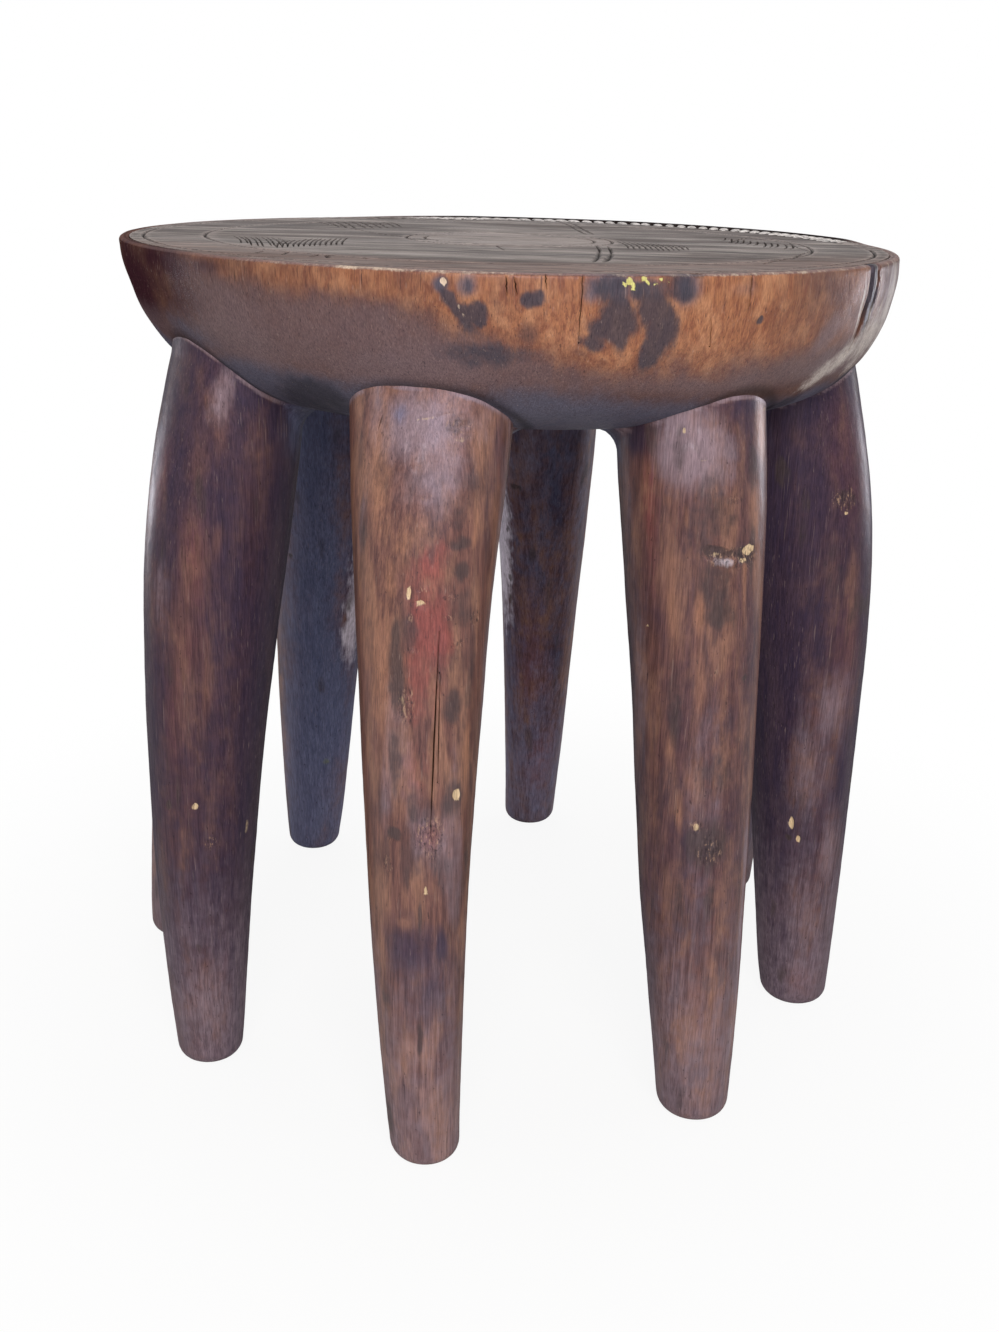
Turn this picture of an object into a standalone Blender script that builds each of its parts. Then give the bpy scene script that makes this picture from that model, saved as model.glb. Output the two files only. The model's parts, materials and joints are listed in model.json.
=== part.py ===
# Carved wooden stool: a bowl-shaped seat on eight tapering round legs.
# Metres, +Z up. The origin is on the floor, under the middle of the seat,
# and the front of the stool faces -Y.

import math
from typing import NamedTuple

import bmesh
import bpy
from mathutils import Matrix, Vector


# Seat
SEAT_RADIUS = 0.225
SEAT_HEIGHT = 0.483
SEAT_THICKNESS = 0.090
RIM_ROUND = 0.002

# How far the bowl's underside lies to the right of the rim, because the bowl
# is carved by eye and leans
BOWL_LEAN = 0.006

# The bowl's outside, from under the rim to the middle of its underside,
# as shares of the seat's radius and of its thickness
BOWL_SHARES = (
    (0.998, 0.13),
    (0.986, 0.27),
    (0.971, 0.40),
    (0.945, 0.53),
    (0.911, 0.65),
    (0.853, 0.785),
    (0.758, 0.89),
    (0.632, 0.95),
    (0.400, 0.98),
    (0.000, 1.00),
)

# Rings cut into the top: two round the middle disc, one inside the border
# and two close to the rim
DISC_RADIUS = 0.050
DISC_BAND = 0.011
BORDER_WIDTH = 0.024
RIM_LINE_INSET = 0.006
RIM_LINE_GAP = 0.0055
GROOVE_WIDTH = 0.0026
GROOVE_DEPTH = 0.0013

# Legs: how far inside the rim their feet stand and their tops lie,
# and their thickness as radii
FOOT_INSET = 0.009
TOP_INSET = 0.050
LEG_RADIUS = 0.040
FOOT_RADIUS = 0.0205
FOOT_ROUND = 0.006
SHOULDER_ROUND = 0.002

# How far down the seat's thickness the tops of the legs lie
SHOULDER_SHARE = 0.62

# A leg's thickness from foot to top: share of its height, then how far a full
# leg and a slim leg have grown there from the foot's radius to the full radius
GIRTH_SHARES = (
    (0.06, 0.08, 0.03),
    (0.17, 0.24, 0.11),
    (0.30, 0.43, 0.23),
    (0.43, 0.60, 0.34),
    (0.56, 0.78, 0.49),
    (0.68, 0.94, 0.65),
    (0.78, 1.03, 0.78),
    (0.88, 1.05, 0.93),
)

# Blind joints: a round tenon on each leg stands in a socket in the seat
TENON_RADIUS = 0.016
TENON_INSET = 0.052
TENON_COVER = 0.030
TENON_ROOT = 0.025
TENON_CHAMFER = 0.002
CLEARANCE = 0.0003

# Facets round each piece
SEAT_SIDES = 72
LEG_SIDES = 20
TENON_SIDES = 16
ROUND_STEPS = 2

# How far a cutter runs past the faces it opens
OVERRUN = 0.010

# Finishes, and the angle in degrees from which an edge is drawn sharp
SEAT_COLOUR = "7d4f35"
SEAT_ROUGHNESS = 0.34
LEG_ROUGHNESS = 0.38
SHARP_ANGLE = 35


class Leg(NamedTuple):
    """One leg, no two of which are carved alike.

    bearing and sweep are in degrees: where the foot stands round the seat, and how far
    round from there the top lies. bend is the power by which the leg curves inwards.
    slim_share is 0 for a full leg and 1 for a slim one.
    """

    name: str
    bearing: float
    sweep: float
    bend: float
    foot_circle_share: float
    top_inset_share: float
    girth_share: float
    foot_girth_share: float
    slim_share: float
    colour: str


LEG_SHARES = (
    Leg("leg_front_left", -144.2, 0.0, 2.2, 0.990, 0.90, 1.00, 1.00, 0.0, "5a352b"),
    Leg("leg_front", -99.3, -2.6, 1.8, 1.010, 0.98, 1.04, 0.98, 0.9, "663a2c"),
    Leg("leg_front_right", -54.3, 0.0, 1.2, 0.963, 1.20, 0.99, 1.03, 0.0, "61382c"),
    Leg("leg_right", -11.4, 0.0, 2.2, 0.972, 1.16, 0.98, 1.02, 0.3, "4d2f2b"),
    Leg("leg_back_right", 32.1, 0.0, 1.7, 0.979, 1.10, 0.97, 0.98, 0.2, "4b302d"),
    Leg("leg_back", 82.7, -1.6, 1.6, 1.018, 1.00, 0.97, 0.97, 0.2, "433038"),
    Leg("leg_back_left", 131.6, 0.0, 1.8, 1.012, 1.00, 0.98, 0.98, 0.0, "41313a"),
    Leg("leg_left", 173.7, 0.0, 1.2, 1.012, 1.25, 0.96, 0.98, 0.3, "553530"),
)


def linear(code):
    """Turn an sRGB hex colour into the linear colour that a shader takes."""
    parts = [int(code[i:i + 2], 16) / 255 for i in (0, 2, 4)]
    return [c / 12.92 if c <= 0.04045 else ((c + 0.055) / 1.055) ** 2.4 for c in parts] + [1.0]


def oiled_wood(name, code, roughness):
    """Make a worn, oiled hardwood finish."""
    material = bpy.data.materials.new(name)
    material.use_nodes = True
    shader = material.node_tree.nodes["Principled BSDF"]
    shader.inputs["Base Color"].default_value = linear(code)
    shader.inputs["Roughness"].default_value = roughness
    shader.inputs["Metallic"].default_value = 0.0
    return material


def add_object(name, mesh_data, material=None):
    """Put a finished bmesh into the scene as a named, smooth-shaded object."""
    mesh = bpy.data.meshes.new(name)
    mesh_data.to_mesh(mesh)
    mesh_data.free()
    mesh.shade_smooth()
    mesh.set_sharp_from_angle(angle=math.radians(SHARP_ANGLE))
    thing = bpy.data.objects.new(name, mesh)
    bpy.context.collection.objects.link(thing)
    if material:
        mesh.materials.append(material)
    return thing


def make_cutter(thing):
    """Keep an object as a guide for booleans only."""
    thing.hide_render = True
    thing.display_type = "WIRE"
    return thing


def cut(thing, cutter, operation):
    """Add an exact boolean to an object."""
    boolean = thing.modifiers.new(operation.lower(), "BOOLEAN")
    boolean.operation = operation
    boolean.solver = "EXACT"
    boolean.object = cutter


def lathe(points, sides):
    """Turn an outline of (radius, height) points, from axis to axis, about Z."""
    shape = bmesh.new()
    verts = [shape.verts.new((radius, 0, height)) for radius, height in points]
    edges = [shape.edges.new(pair) for pair in zip(verts, verts[1:])]
    bmesh.ops.spin(
        shape, geom=verts + edges, cent=(0, 0, 0), axis=(0, 0, 1),
        angle=math.tau, steps=sides, use_merge=True,
    )
    on_axis = [v for v in shape.verts if math.hypot(v.co.x, v.co.y) < CLEARANCE / 2]
    bmesh.ops.remove_doubles(shape, verts=on_axis, dist=CLEARANCE / 10)
    bmesh.ops.recalc_face_normals(shape, faces=shape.faces)
    return shape


def lean(shape):
    """Shear a turned bowl sideways, more the further it lies below the rim."""
    for vert in shape.verts:
        vert.co.x += BOWL_LEAN * max(0, SEAT_HEIGHT - vert.co.z) / SEAT_THICKNESS
    return shape


def bowl_points():
    """The bowl's outside as (radius, height) points, from the rim down to the axis."""
    return [
        (SEAT_RADIUS * radius_share, SEAT_HEIGHT - SEAT_THICKNESS * depth_share)
        for radius_share, depth_share in BOWL_SHARES
    ]


def groove(radius):
    """Three points of a V-shaped ring cut into the top, from its inner edge out."""
    return [
        (radius - GROOVE_WIDTH / 2, SEAT_HEIGHT),
        (radius, SEAT_HEIGHT - GROOVE_DEPTH),
        (radius + GROOVE_WIDTH / 2, SEAT_HEIGHT),
    ]


def seat_outline():
    """The seat's outline: carved top, rounded rim, then the bowl."""
    rim_line = SEAT_RADIUS - RIM_LINE_INSET
    rings = (
        DISC_RADIUS,
        DISC_RADIUS + DISC_BAND,
        rim_line - RIM_LINE_GAP - BORDER_WIDTH,
        rim_line - RIM_LINE_GAP,
        rim_line,
    )
    points = [(0, SEAT_HEIGHT)]
    for radius in rings:
        points += groove(radius)
    for step in range(ROUND_STEPS + 1):
        turn = math.pi / 2 * step / ROUND_STEPS
        points.append((
            SEAT_RADIUS - RIM_ROUND * (1 - math.sin(turn)),
            SEAT_HEIGHT - RIM_ROUND * (1 - math.cos(turn)),
        ))
    return points + bowl_points()


def clear_bowl_outline():
    """The bowl's outline moved outwards by the clearance, closed well above the rim."""
    points = [(SEAT_RADIUS, SEAT_HEIGHT)] + bowl_points()
    moved = []
    for i, (radius, height) in enumerate(points):
        before = points[max(i - 1, 0)]
        after = points[min(i + 1, len(points) - 1)]
        along = Vector((after[0] - before[0], after[1] - before[1])).normalized()
        moved.append((radius - along.y * CLEARANCE, height + along.x * CLEARANCE))
    moved[-1] = (0, points[-1][1] - CLEARANCE)
    top = SEAT_HEIGHT + OVERRUN
    return [(0, top), (moved[0][0], top)] + moved


def shoulder_height():
    """Height of the legs' tops above the floor."""
    return SEAT_HEIGHT - SEAT_THICKNESS * SHOULDER_SHARE


def leg_centre(leg, height):
    """Where a leg's centre line lies at a height, for a leg that stands out along +X."""
    climb = height / shoulder_height()
    foot = (SEAT_RADIUS - FOOT_INSET) * leg.foot_circle_share
    top = SEAT_RADIUS - TOP_INSET * leg.top_inset_share
    out = foot + (top - foot) * climb ** leg.bend
    turn = math.radians(leg.sweep) * climb
    return Vector((out * math.cos(turn), out * math.sin(turn), height))


def leg_rings(leg):
    """A leg's rings from foot to top, each a centre and a radius."""
    top = shoulder_height()
    foot_radius = FOOT_RADIUS * leg.foot_girth_share
    full_radius = LEG_RADIUS * leg.girth_share
    sizes = []
    for step in range(ROUND_STEPS + 1):
        turn = math.pi / 2 * step / ROUND_STEPS
        sizes.append((
            FOOT_ROUND * (1 - math.sin(math.pi / 2 - turn)),
            foot_radius - FOOT_ROUND * (1 - math.sin(turn)),
        ))
    for height_share, full_share, slim_share in GIRTH_SHARES:
        growth_share = full_share + (slim_share - full_share) * leg.slim_share
        sizes.append((top * height_share, foot_radius + (full_radius - foot_radius) * growth_share))
    for step in range(ROUND_STEPS + 1):
        turn = math.pi / 2 * step / ROUND_STEPS
        sizes.append((
            top - SHOULDER_ROUND * (1 - math.sin(turn)),
            full_radius - SHOULDER_ROUND * (1 - math.cos(turn)),
        ))
    return [(leg_centre(leg, height), radius) for height, radius in sizes]


def leg_mesh(leg):
    """Skin a leg, standing out along +X, ring by ring from its foot."""
    rings = leg_rings(leg)
    shape = bmesh.new()
    centre, radius = rings[0]
    bmesh.ops.create_circle(
        shape, cap_ends=False, segments=LEG_SIDES, radius=radius, matrix=Matrix.Translation(centre),
    )
    edges = shape.edges[:]
    for (below, lower_radius), (above, upper_radius) in zip(rings, rings[1:]):
        grown = bmesh.ops.extrude_edge_only(shape, edges=edges)["geom"]
        verts = [part for part in grown if isinstance(part, bmesh.types.BMVert)]
        edges = [part for part in grown if isinstance(part, bmesh.types.BMEdge)]
        swell = upper_radius / lower_radius
        bmesh.ops.scale(shape, vec=(swell, swell, 1), verts=verts, space=Matrix.Translation(-below))
        bmesh.ops.translate(shape, vec=above - below, verts=verts)
    bmesh.ops.holes_fill(shape, edges=shape.edges, sides=LEG_SIDES)
    bmesh.ops.recalc_face_normals(shape, faces=shape.faces)
    return shape


def tenon_place():
    """Distance out from the middle, foot and top of every tenon."""
    out = SEAT_RADIUS - TENON_INSET
    foot = SEAT_HEIGHT - SEAT_THICKNESS - TENON_ROOT
    return out, foot, SEAT_HEIGHT - TENON_COVER


def peg_mesh(shape, matrix, radius, foot, top, chamfer):
    """Add a round peg with a chamfered top to a bmesh."""
    made = bmesh.ops.create_cone(
        shape, cap_ends=True, segments=TENON_SIDES, radius1=radius, radius2=radius,
        depth=top - foot, matrix=matrix @ Matrix.Translation((0, 0, (top + foot) / 2)),
    )
    if chamfer:
        rim = [
            edge for vert in made["verts"] for edge in vert.link_edges
            if all(end.co.z > (top + foot) / 2 for end in edge.verts)
        ]
        bmesh.ops.bevel(
            shape, geom=list(dict.fromkeys(rim)), offset=chamfer, affect="EDGES",
            segments=1, profile=0.5, material=-1,
        )
    return shape


def add_leg(leg, bowl_cutter):
    """Make a leg, fit its top to the bowl and stand its tenon on it."""
    turn = math.radians(leg.bearing)
    thing = add_object(leg.name, leg_mesh(leg), oiled_wood(leg.name, leg.colour, LEG_ROUGHNESS))
    thing.rotation_euler.z = turn
    cut(thing, bowl_cutter, "DIFFERENCE")
    out, foot, top = tenon_place()
    tenon = peg_mesh(bmesh.new(), Matrix.Translation((out, 0, 0)), TENON_RADIUS, foot, top, TENON_CHAMFER)
    tenon_guide = make_cutter(add_object(leg.name + "_tenon", tenon))
    tenon_guide.parent = thing
    cut(thing, tenon_guide, "UNION")


def add_seat():
    """Turn the seat and bore a socket for each leg's tenon."""
    bowl = lean(lathe(seat_outline(), SEAT_SIDES))
    seat = add_object("seat", bowl, oiled_wood("seat", SEAT_COLOUR, SEAT_ROUGHNESS))
    out, foot, top = tenon_place()
    sockets = bmesh.new()
    for leg in LEG_SHARES:
        place = Matrix.Rotation(math.radians(leg.bearing), 4, "Z") @ Matrix.Translation((out, 0, 0))
        peg_mesh(sockets, place, TENON_RADIUS + CLEARANCE, foot, top + CLEARANCE, 0)
    cut(seat, make_cutter(add_object("sockets", sockets)), "DIFFERENCE")


def main():
    """Clear the scene and build the stool."""
    for thing in list(bpy.data.objects):
        bpy.data.objects.remove(thing)
    add_seat()
    bowl_cutter = make_cutter(add_object("clear_bowl", lean(lathe(clear_bowl_outline(), SEAT_SIDES))))
    for leg in LEG_SHARES:
        add_leg(leg, bowl_cutter)


main()
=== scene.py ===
"""Looks of the carved wooden stool.

A round stool hewn from one log of dark hardwood: a bowl-shaped seat with an incised top,
standing on eight tapering legs that bow outwards. Metres, +Z up, the front faces -Y.
"""

import json
import logging
import math
import random
from collections.abc import Callable, Iterable, Sequence
from dataclasses import dataclass
from enum import Enum

import bmesh
import bpy
from mathutils import Matrix, Vector, noise
from mathutils.bvhtree import BVHTree

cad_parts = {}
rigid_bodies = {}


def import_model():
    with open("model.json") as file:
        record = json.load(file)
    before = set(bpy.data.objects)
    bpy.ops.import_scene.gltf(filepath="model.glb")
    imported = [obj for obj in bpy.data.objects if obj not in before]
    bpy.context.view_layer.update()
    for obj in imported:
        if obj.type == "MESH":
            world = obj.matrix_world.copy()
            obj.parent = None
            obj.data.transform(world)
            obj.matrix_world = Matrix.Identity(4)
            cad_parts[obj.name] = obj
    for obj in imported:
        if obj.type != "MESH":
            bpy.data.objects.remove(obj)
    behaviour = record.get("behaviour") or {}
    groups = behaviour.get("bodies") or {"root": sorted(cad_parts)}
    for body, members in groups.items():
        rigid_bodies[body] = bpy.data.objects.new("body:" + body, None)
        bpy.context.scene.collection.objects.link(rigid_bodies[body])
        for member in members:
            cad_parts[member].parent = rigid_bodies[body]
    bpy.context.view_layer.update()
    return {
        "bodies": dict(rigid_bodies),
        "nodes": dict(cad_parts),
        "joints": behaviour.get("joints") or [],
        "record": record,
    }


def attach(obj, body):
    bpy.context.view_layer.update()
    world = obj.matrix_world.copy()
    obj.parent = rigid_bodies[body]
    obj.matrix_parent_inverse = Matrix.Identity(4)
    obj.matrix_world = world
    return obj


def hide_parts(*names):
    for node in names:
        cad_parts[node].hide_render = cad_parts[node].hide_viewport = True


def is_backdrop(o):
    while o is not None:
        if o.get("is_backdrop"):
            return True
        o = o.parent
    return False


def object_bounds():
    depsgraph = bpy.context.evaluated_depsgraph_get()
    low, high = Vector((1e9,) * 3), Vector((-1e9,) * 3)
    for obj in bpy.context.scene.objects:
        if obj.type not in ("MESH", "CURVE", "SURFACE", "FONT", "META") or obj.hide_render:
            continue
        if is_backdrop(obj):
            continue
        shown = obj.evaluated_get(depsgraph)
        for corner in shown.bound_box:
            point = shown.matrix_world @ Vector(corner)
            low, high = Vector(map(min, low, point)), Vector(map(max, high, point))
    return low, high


LOG = logging.getLogger("stool")

Socket = bpy.types.NodeSocket

MM = 0.001

# The seat's size, and the height inside the bowl up to which the legs' curves are given
SEAT_RADIUS = 0.225
SEAT_HEIGHT = 0.483
SEAT_THICKNESS = 0.090
TOP_HEIGHT = SEAT_HEIGHT - 0.62 * SEAT_THICKNESS


# Small helpers


def linear(code: str) -> tuple[float, float, float, float]:
    """Turn an sRGB hex colour into the linear colour that a shader takes.

    Args:
        code: Six hex digits.

    Returns:
        Red, green, blue and an alpha of 1.
    """
    parts = [int(code[i:i + 2], 16) / 255 for i in (0, 2, 4)]
    red, green, blue = (c / 12.92 if c <= 0.04045 else ((c + 0.055) / 1.055) ** 2.4 for c in parts)
    return red, green, blue, 1.0


def ease(start: float, end: float, value: float) -> float:
    """Give the share from 0 to 1 of a value's smooth way from start to end."""
    share = min(1.0, max(0.0, (value - start) / (end - start)))
    return share * share * (3 - 2 * share)


def curve_at(knots: Sequence[float], values: Sequence[float], place: float) -> float:
    """Read a smooth curve through unevenly spaced knots.

    Args:
        knots: Rising places.
        values: The curve's value at each knot.
        place: Where to read it.

    Returns:
        The value there, held level past both ends.
    """
    if place <= knots[0]:
        return values[0]
    if place >= knots[-1]:
        return values[-1]
    i = max(n for n in range(len(knots) - 1) if knots[n] <= place)

    def slope(n: int) -> float:
        """Give the curve's slope at a knot, from its neighbours."""
        low, high = max(n - 1, 0), min(n + 1, len(knots) - 1)
        return (values[high] - values[low]) / (knots[high] - knots[low])

    span = knots[i + 1] - knots[i]
    t = (place - knots[i]) / span
    return (
        values[i] * (2 * t ** 3 - 3 * t ** 2 + 1)
        + slope(i) * span * (t ** 3 - 2 * t ** 2 + t)
        + values[i + 1] * (3 * t ** 2 - 2 * t ** 3)
        + slope(i + 1) * span * (t ** 3 - t ** 2)
    )


def wander(place: Vector, size: float, seed: float = 0.0) -> float:
    """Read smooth noise from about -1 to 1, whose swells lie about size metres apart."""
    return noise.noise(place / size + Vector((seed, -seed, 1.7 * seed)))


def turn_between(first: float, second: float) -> float:
    """Give the angle from the first bearing to the second, from -180 to 180 degrees."""
    return (second - first + 180) % 360 - 180


def bearing_of(spoke: Vector) -> float:
    """Give the bearing of a point or a direction round the seat, in degrees."""
    return math.degrees(math.atan2(spoke.y, spoke.x))


def ray(bearing: float) -> Vector:
    """Give the level direction at a bearing in degrees."""
    angle = math.radians(bearing)
    return Vector((math.cos(angle), math.sin(angle), 0))


def quarter_round(share: float) -> float:
    """Give how far a quarter circle of radius 1 has fallen at a share of its width."""
    return 1 - math.sqrt(max(0.0, 1 - share ** 2))


def sweep(shape: bmesh.types.BMesh, frames: Sequence[Matrix], sides: int) -> None:
    """Skin a closed form along a row of placed and scaled unit rings.

    Args:
        shape: The bmesh to add it to.
        frames: A matrix for each ring, from one end to the other.
        sides: Corners of each ring.
    """
    ring = bmesh.ops.create_circle(
        shape, cap_ends=True, segments=sides, radius=1.0, matrix=frames[0]
    )["verts"]
    edges = list(dict.fromkeys(edge for vert in ring for edge in vert.link_edges))
    for before, after in zip(frames, frames[1:]):
        grown = bmesh.ops.extrude_edge_only(shape, edges=edges)["geom"]
        verts = [part for part in grown if isinstance(part, bmesh.types.BMVert)]
        edges = [part for part in grown if isinstance(part, bmesh.types.BMEdge)]
        bmesh.ops.transform(shape, matrix=after @ before.inverted(), verts=verts)
    bmesh.ops.holes_fill(shape, edges=edges, sides=sides)


def lathe(shape: bmesh.types.BMesh, outline: Sequence[tuple[float, float]], steps: int) -> None:
    """Turn an outline that starts and ends on the axis about Z.

    Args:
        shape: An empty bmesh.
        outline: Points as (radius, height).
        steps: How many steps make the full turn.
    """
    verts = [shape.verts.new((radius, 0, height)) for radius, height in outline]
    edges = [shape.edges.new(pair) for pair in zip(verts, verts[1:])]
    bmesh.ops.spin(
        shape, geom=verts + edges, cent=(0, 0, 0), axis=(0, 0, 1), angle=math.tau, steps=steps,
        use_merge=True,
    )
    on_axis = [vert for vert in shape.verts if math.hypot(vert.co.x, vert.co.y) < 0.1 * MM]
    bmesh.ops.remove_doubles(shape, verts=on_axis, dist=0.05 * MM)
    bmesh.ops.recalc_face_normals(shape, faces=shape.faces)


def refine(shape: bmesh.types.BMesh, wanted: Callable[[Vector], bool], cuts: int) -> None:
    """Split the faces where small details lie.

    Args:
        shape: The bmesh to refine.
        wanted: Says whether a point lies close to a detail.
        cuts: How many cuts each edge gets.
    """
    near = {vert for vert in shape.verts if wanted(vert.co)}
    edges = [edge for edge in shape.edges if edge.verts[0] in near and edge.verts[1] in near]
    if edges:
        bmesh.ops.subdivide_edges(shape, edges=edges, cuts=cuts, use_grid_fill=True)


def make_object(name: str, shape: bmesh.types.BMesh, sharp: float = 40.0) -> bpy.types.Object:
    """Put a bmesh into the scene as a smooth-shaded object.

    Args:
        name: The object's name.
        shape: The bmesh, which is freed.
        sharp: Angle in degrees from which an edge is drawn sharp.

    Returns:
        The object, at the origin.
    """
    mesh = bpy.data.meshes.new(name)
    shape.to_mesh(mesh)
    shape.free()
    mesh.shade_smooth()
    mesh.set_sharp_from_angle(angle=math.radians(sharp))
    piece = bpy.data.objects.new(name, mesh)
    bpy.context.collection.objects.link(piece)
    return piece


def carve(piece: bpy.types.Object, cutter: bmesh.types.BMesh, crossing: bool = False) -> None:
    """Cut a cutter out of a piece and keep the result as its mesh.

    Args:
        piece: The object to cut.
        cutter: The bmesh to take away, which is freed.
        crossing: Whether parts of the cutter run into each other.
    """
    bmesh.ops.recalc_face_normals(cutter, faces=cutter.faces)
    tint(cutter, Layer.DIRT_AND_SHADE, (CUT_DIRT for _ in cutter.verts))
    tint(cutter, Layer.MATT, (1.0 for _ in cutter.verts))
    tool = make_object("chisel", cutter)
    cut = piece.modifiers.new("chisel", "BOOLEAN")
    cut.operation = "DIFFERENCE"
    cut.solver = "EXACT"
    cut.use_self = crossing
    cut.object = tool
    evaluated = piece.evaluated_get(bpy.context.evaluated_depsgraph_get())
    mesh = bpy.data.meshes.new_from_object(evaluated)
    piece.modifiers.remove(cut)
    piece.data = mesh
    bpy.data.objects.remove(tool)


# Marks that years of use and the wood itself leave, and patches of painted light and shade


class Layer(Enum):
    """A vertex attribute that a finish reads."""

    WARM = "warm"
    RED = "red"
    SHADE = "shade"
    # Mauve-grey painted sheen and reflections, with some dust bloom on the legs
    SHEEN = "sheen"
    # Real stains, and a few marks of painted shade deep under the bowl
    STAIN_AND_SHADE = "stain"
    # Blue-grey: real stains near the rim, and painted shade under the bowl and on the legs' hidden
    # sides
    COOL = "cool"
    PALE = "pale"
    LICHEN = "lichen"
    TORN = "torn"
    # Dirt in cuts and grooves, and painted shade in the creases where the legs meet the bowl
    DIRT_AND_SHADE = "dirt"
    MATT = "matt"
    # Pale painted highlights and reflections, with a few spots of pale worn wood
    GLEAM_AND_WEAR = "bare"


SOFT_LAYERS = (Layer.WARM, Layer.RED, Layer.SHADE, Layer.SHEEN, Layer.COOL, Layer.GLEAM_AND_WEAR)

# A mark's edge: where it starts and ends as shares of its size, and how far the grain tears it
SOFT_EDGE = (0.0, 1.35, 0.4)
STAIN_EDGE = (0.45, 1.25, 0.4)
CRISP_EDGE = (0.6, 1.25, 0.3)

# How dirty the wood is inside a cut, how rough torn grain is, the width in millimetres
# under which a mark needs a finer mesh, and the corners of a crack's section
CUT_DIRT = 0.9
TORN_RELIEF = 0.45 * MM
SMALL_MARK = 7
CRACK_SIDES = 8


@dataclass(frozen=True)
class Mark:
    """One mark: a stain, a chip, a worn spot, torn grain or a knot, or a patch of painted highlight or
    painted shade.

    It lies turn degrees round the piece and along millimetres from its start, and is width by
    length millimetres large. depth_mm sinks it into the wood and tilt turns it, in degrees.
    """

    turn: float
    along: float
    width: float
    length: float
    layer: Layer
    strength: float = 1.0
    depth_mm: float = 0.0
    tilt: float = 0.0

    def cover(self, turn: float, radius: float, along: float, place: Vector) -> float:
        """Say how strongly the mark shows at a point.

        Args:
            turn: The point's angle round the piece, in degrees.
            radius: The piece's radius there, in metres.
            along: The point's place along the piece, in metres.
            place: The point itself, whose grain tears the mark's edge.

        Returns:
            A share from 0, outside, to the mark's strength, inside.
        """
        down = along / MM - self.along
        reach = 0.75 * max(self.width, self.length)
        if abs(down) > reach:
            return 0.0
        across = math.radians(turn_between(self.turn, turn)) * radius / MM
        if abs(across) > reach:
            return 0.0
        cos, sin = math.cos(math.radians(self.tilt)), math.sin(math.radians(self.tilt))
        out = math.hypot(
            2 * (across * cos + down * sin) / self.width,
            2 * (down * cos - across * sin) / self.length,
        )
        grain = Vector((place.x, place.y, 0.45 * place.z))
        torn = wander(grain, 0.4 * math.sqrt(self.width * self.length) * MM, self.turn)
        start, end, ragged = CRISP_EDGE
        if self.layer in SOFT_LAYERS:
            start, end, ragged = SOFT_EDGE
        if self.layer is Layer.STAIN_AND_SHADE:
            start, end, ragged = STAIN_EDGE
        return self.strength * (1 - ease(start, end, out + ragged * torn))

    def near(self, turn: float, radius: float, along: float, margin: float) -> bool:
        """Say whether a point lies within a margin of the mark.

        Args:
            turn: The point's angle round the piece, in degrees.
            radius: The piece's radius there, in metres.
            along: The point's place along the piece, in metres.
            margin: How far round the mark still counts, in metres.

        Returns:
            Whether it does.
        """
        across = math.radians(abs(turn_between(self.turn, turn))) * radius
        down = abs(along - self.along * MM)
        return across < 0.6 * self.width * MM + margin and down < 0.6 * self.length * MM + margin


def read_marks(
    marks: Sequence[Mark], turn: float, radius: float, along: float, place: Vector
) -> tuple[dict[Layer, float], float]:
    """Add up what all marks of a piece do at one point.

    Args:
        marks: The piece's marks.
        turn: The point's angle round the piece, in degrees.
        radius: The piece's radius there, in metres.
        along: The point's place along the piece, in metres.
        place: The point itself.

    Returns:
        The value of each layer, and how deep the point sinks in metres.
    """
    shares = {layer: 0.0 for layer in Layer}
    sunk = 0.0
    for mark in marks:
        cover = mark.cover(turn, radius, along, place)
        if cover > 0:
            shares[mark.layer] = max(shares[mark.layer], cover)
            sunk = max(sunk, cover * mark.depth_mm * MM)
    crumple = wander(place, 2.6 * MM, 31.0) + 0.7 * wander(place, 1.3 * MM, 37.0)
    return shares, sunk + shares[Layer.TORN] * TORN_RELIEF * crumple


def deepen(shares: dict[Layer, float], layer: Layer, *others: float) -> None:
    """Raise a layer's share to the greatest of some others."""
    shares[layer] = max(shares[layer], *others)


def tint(shape: bmesh.types.BMesh, layer: Layer, shares: Iterable[float]) -> None:
    """Write one attribute for every vertex.

    Args:
        shape: The bmesh.
        layer: Which attribute.
        shares: A value for each vertex, in order.
    """
    slot = shape.verts.layers.float.get(layer.value) or shape.verts.layers.float.new(layer.value)
    for vert, share in zip(shape.verts, shares):
        vert[slot] = share


def tint_all(shape: bmesh.types.BMesh, rows: Sequence[dict[Layer, float]]) -> None:
    """Write every attribute for every vertex.

    Args:
        shape: The bmesh.
        rows: The share of each layer, for each vertex in order.
    """
    for layer in rows[0]:
        tint(shape, layer, (row[layer] for row in rows))


@dataclass(frozen=True)
class Crack:
    """A crack that opened as the wood dried.

    It starts turn degrees round the piece and start millimetres along it, runs length
    millimetres on, is width wide and depth deep, and drifts sideways by drift degrees.
    """

    turn: float
    start: float
    length: float
    width: float
    depth: float
    drift: float = 0.0
    open_end: bool = False

    def frames(self, surface: Callable[[float, float], Vector], count: int = 12) -> list[Matrix]:
        """Place the rings of the wedge that cuts the crack.

        Args:
            surface: Gives the piece's surface at degrees round it and metres along it.
            count: How many rings.

        Returns:
            A matrix for each ring.
        """
        rings = []
        for step in range(count):
            share = step / (count - 1)
            jag = 0.35 * math.sin(2.3 * step + self.turn) + 0.25 * math.sin(5.1 * step)
            turn = self.turn + self.drift * share + 0.25 * jag * min(self.width, 1.0)
            along = (self.start + share * self.length) * MM
            taper = min(1.0, 0.12 + 2.2 * (1 - share))
            if not self.open_end:
                taper = min(taper, 0.12 + 2.5 * share)
            point = surface(turn, along)
            side = surface(turn + 1, along) - point
            facing = math.atan2(side.y, side.x)
            rings.append(
                Matrix.Translation(point) @ Matrix.Rotation(facing, 4, "Z")
                @ Matrix.Diagonal((self.width / 2 * taper * MM, self.depth * taper * MM, 1, 1))
            )
        return rings


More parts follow.
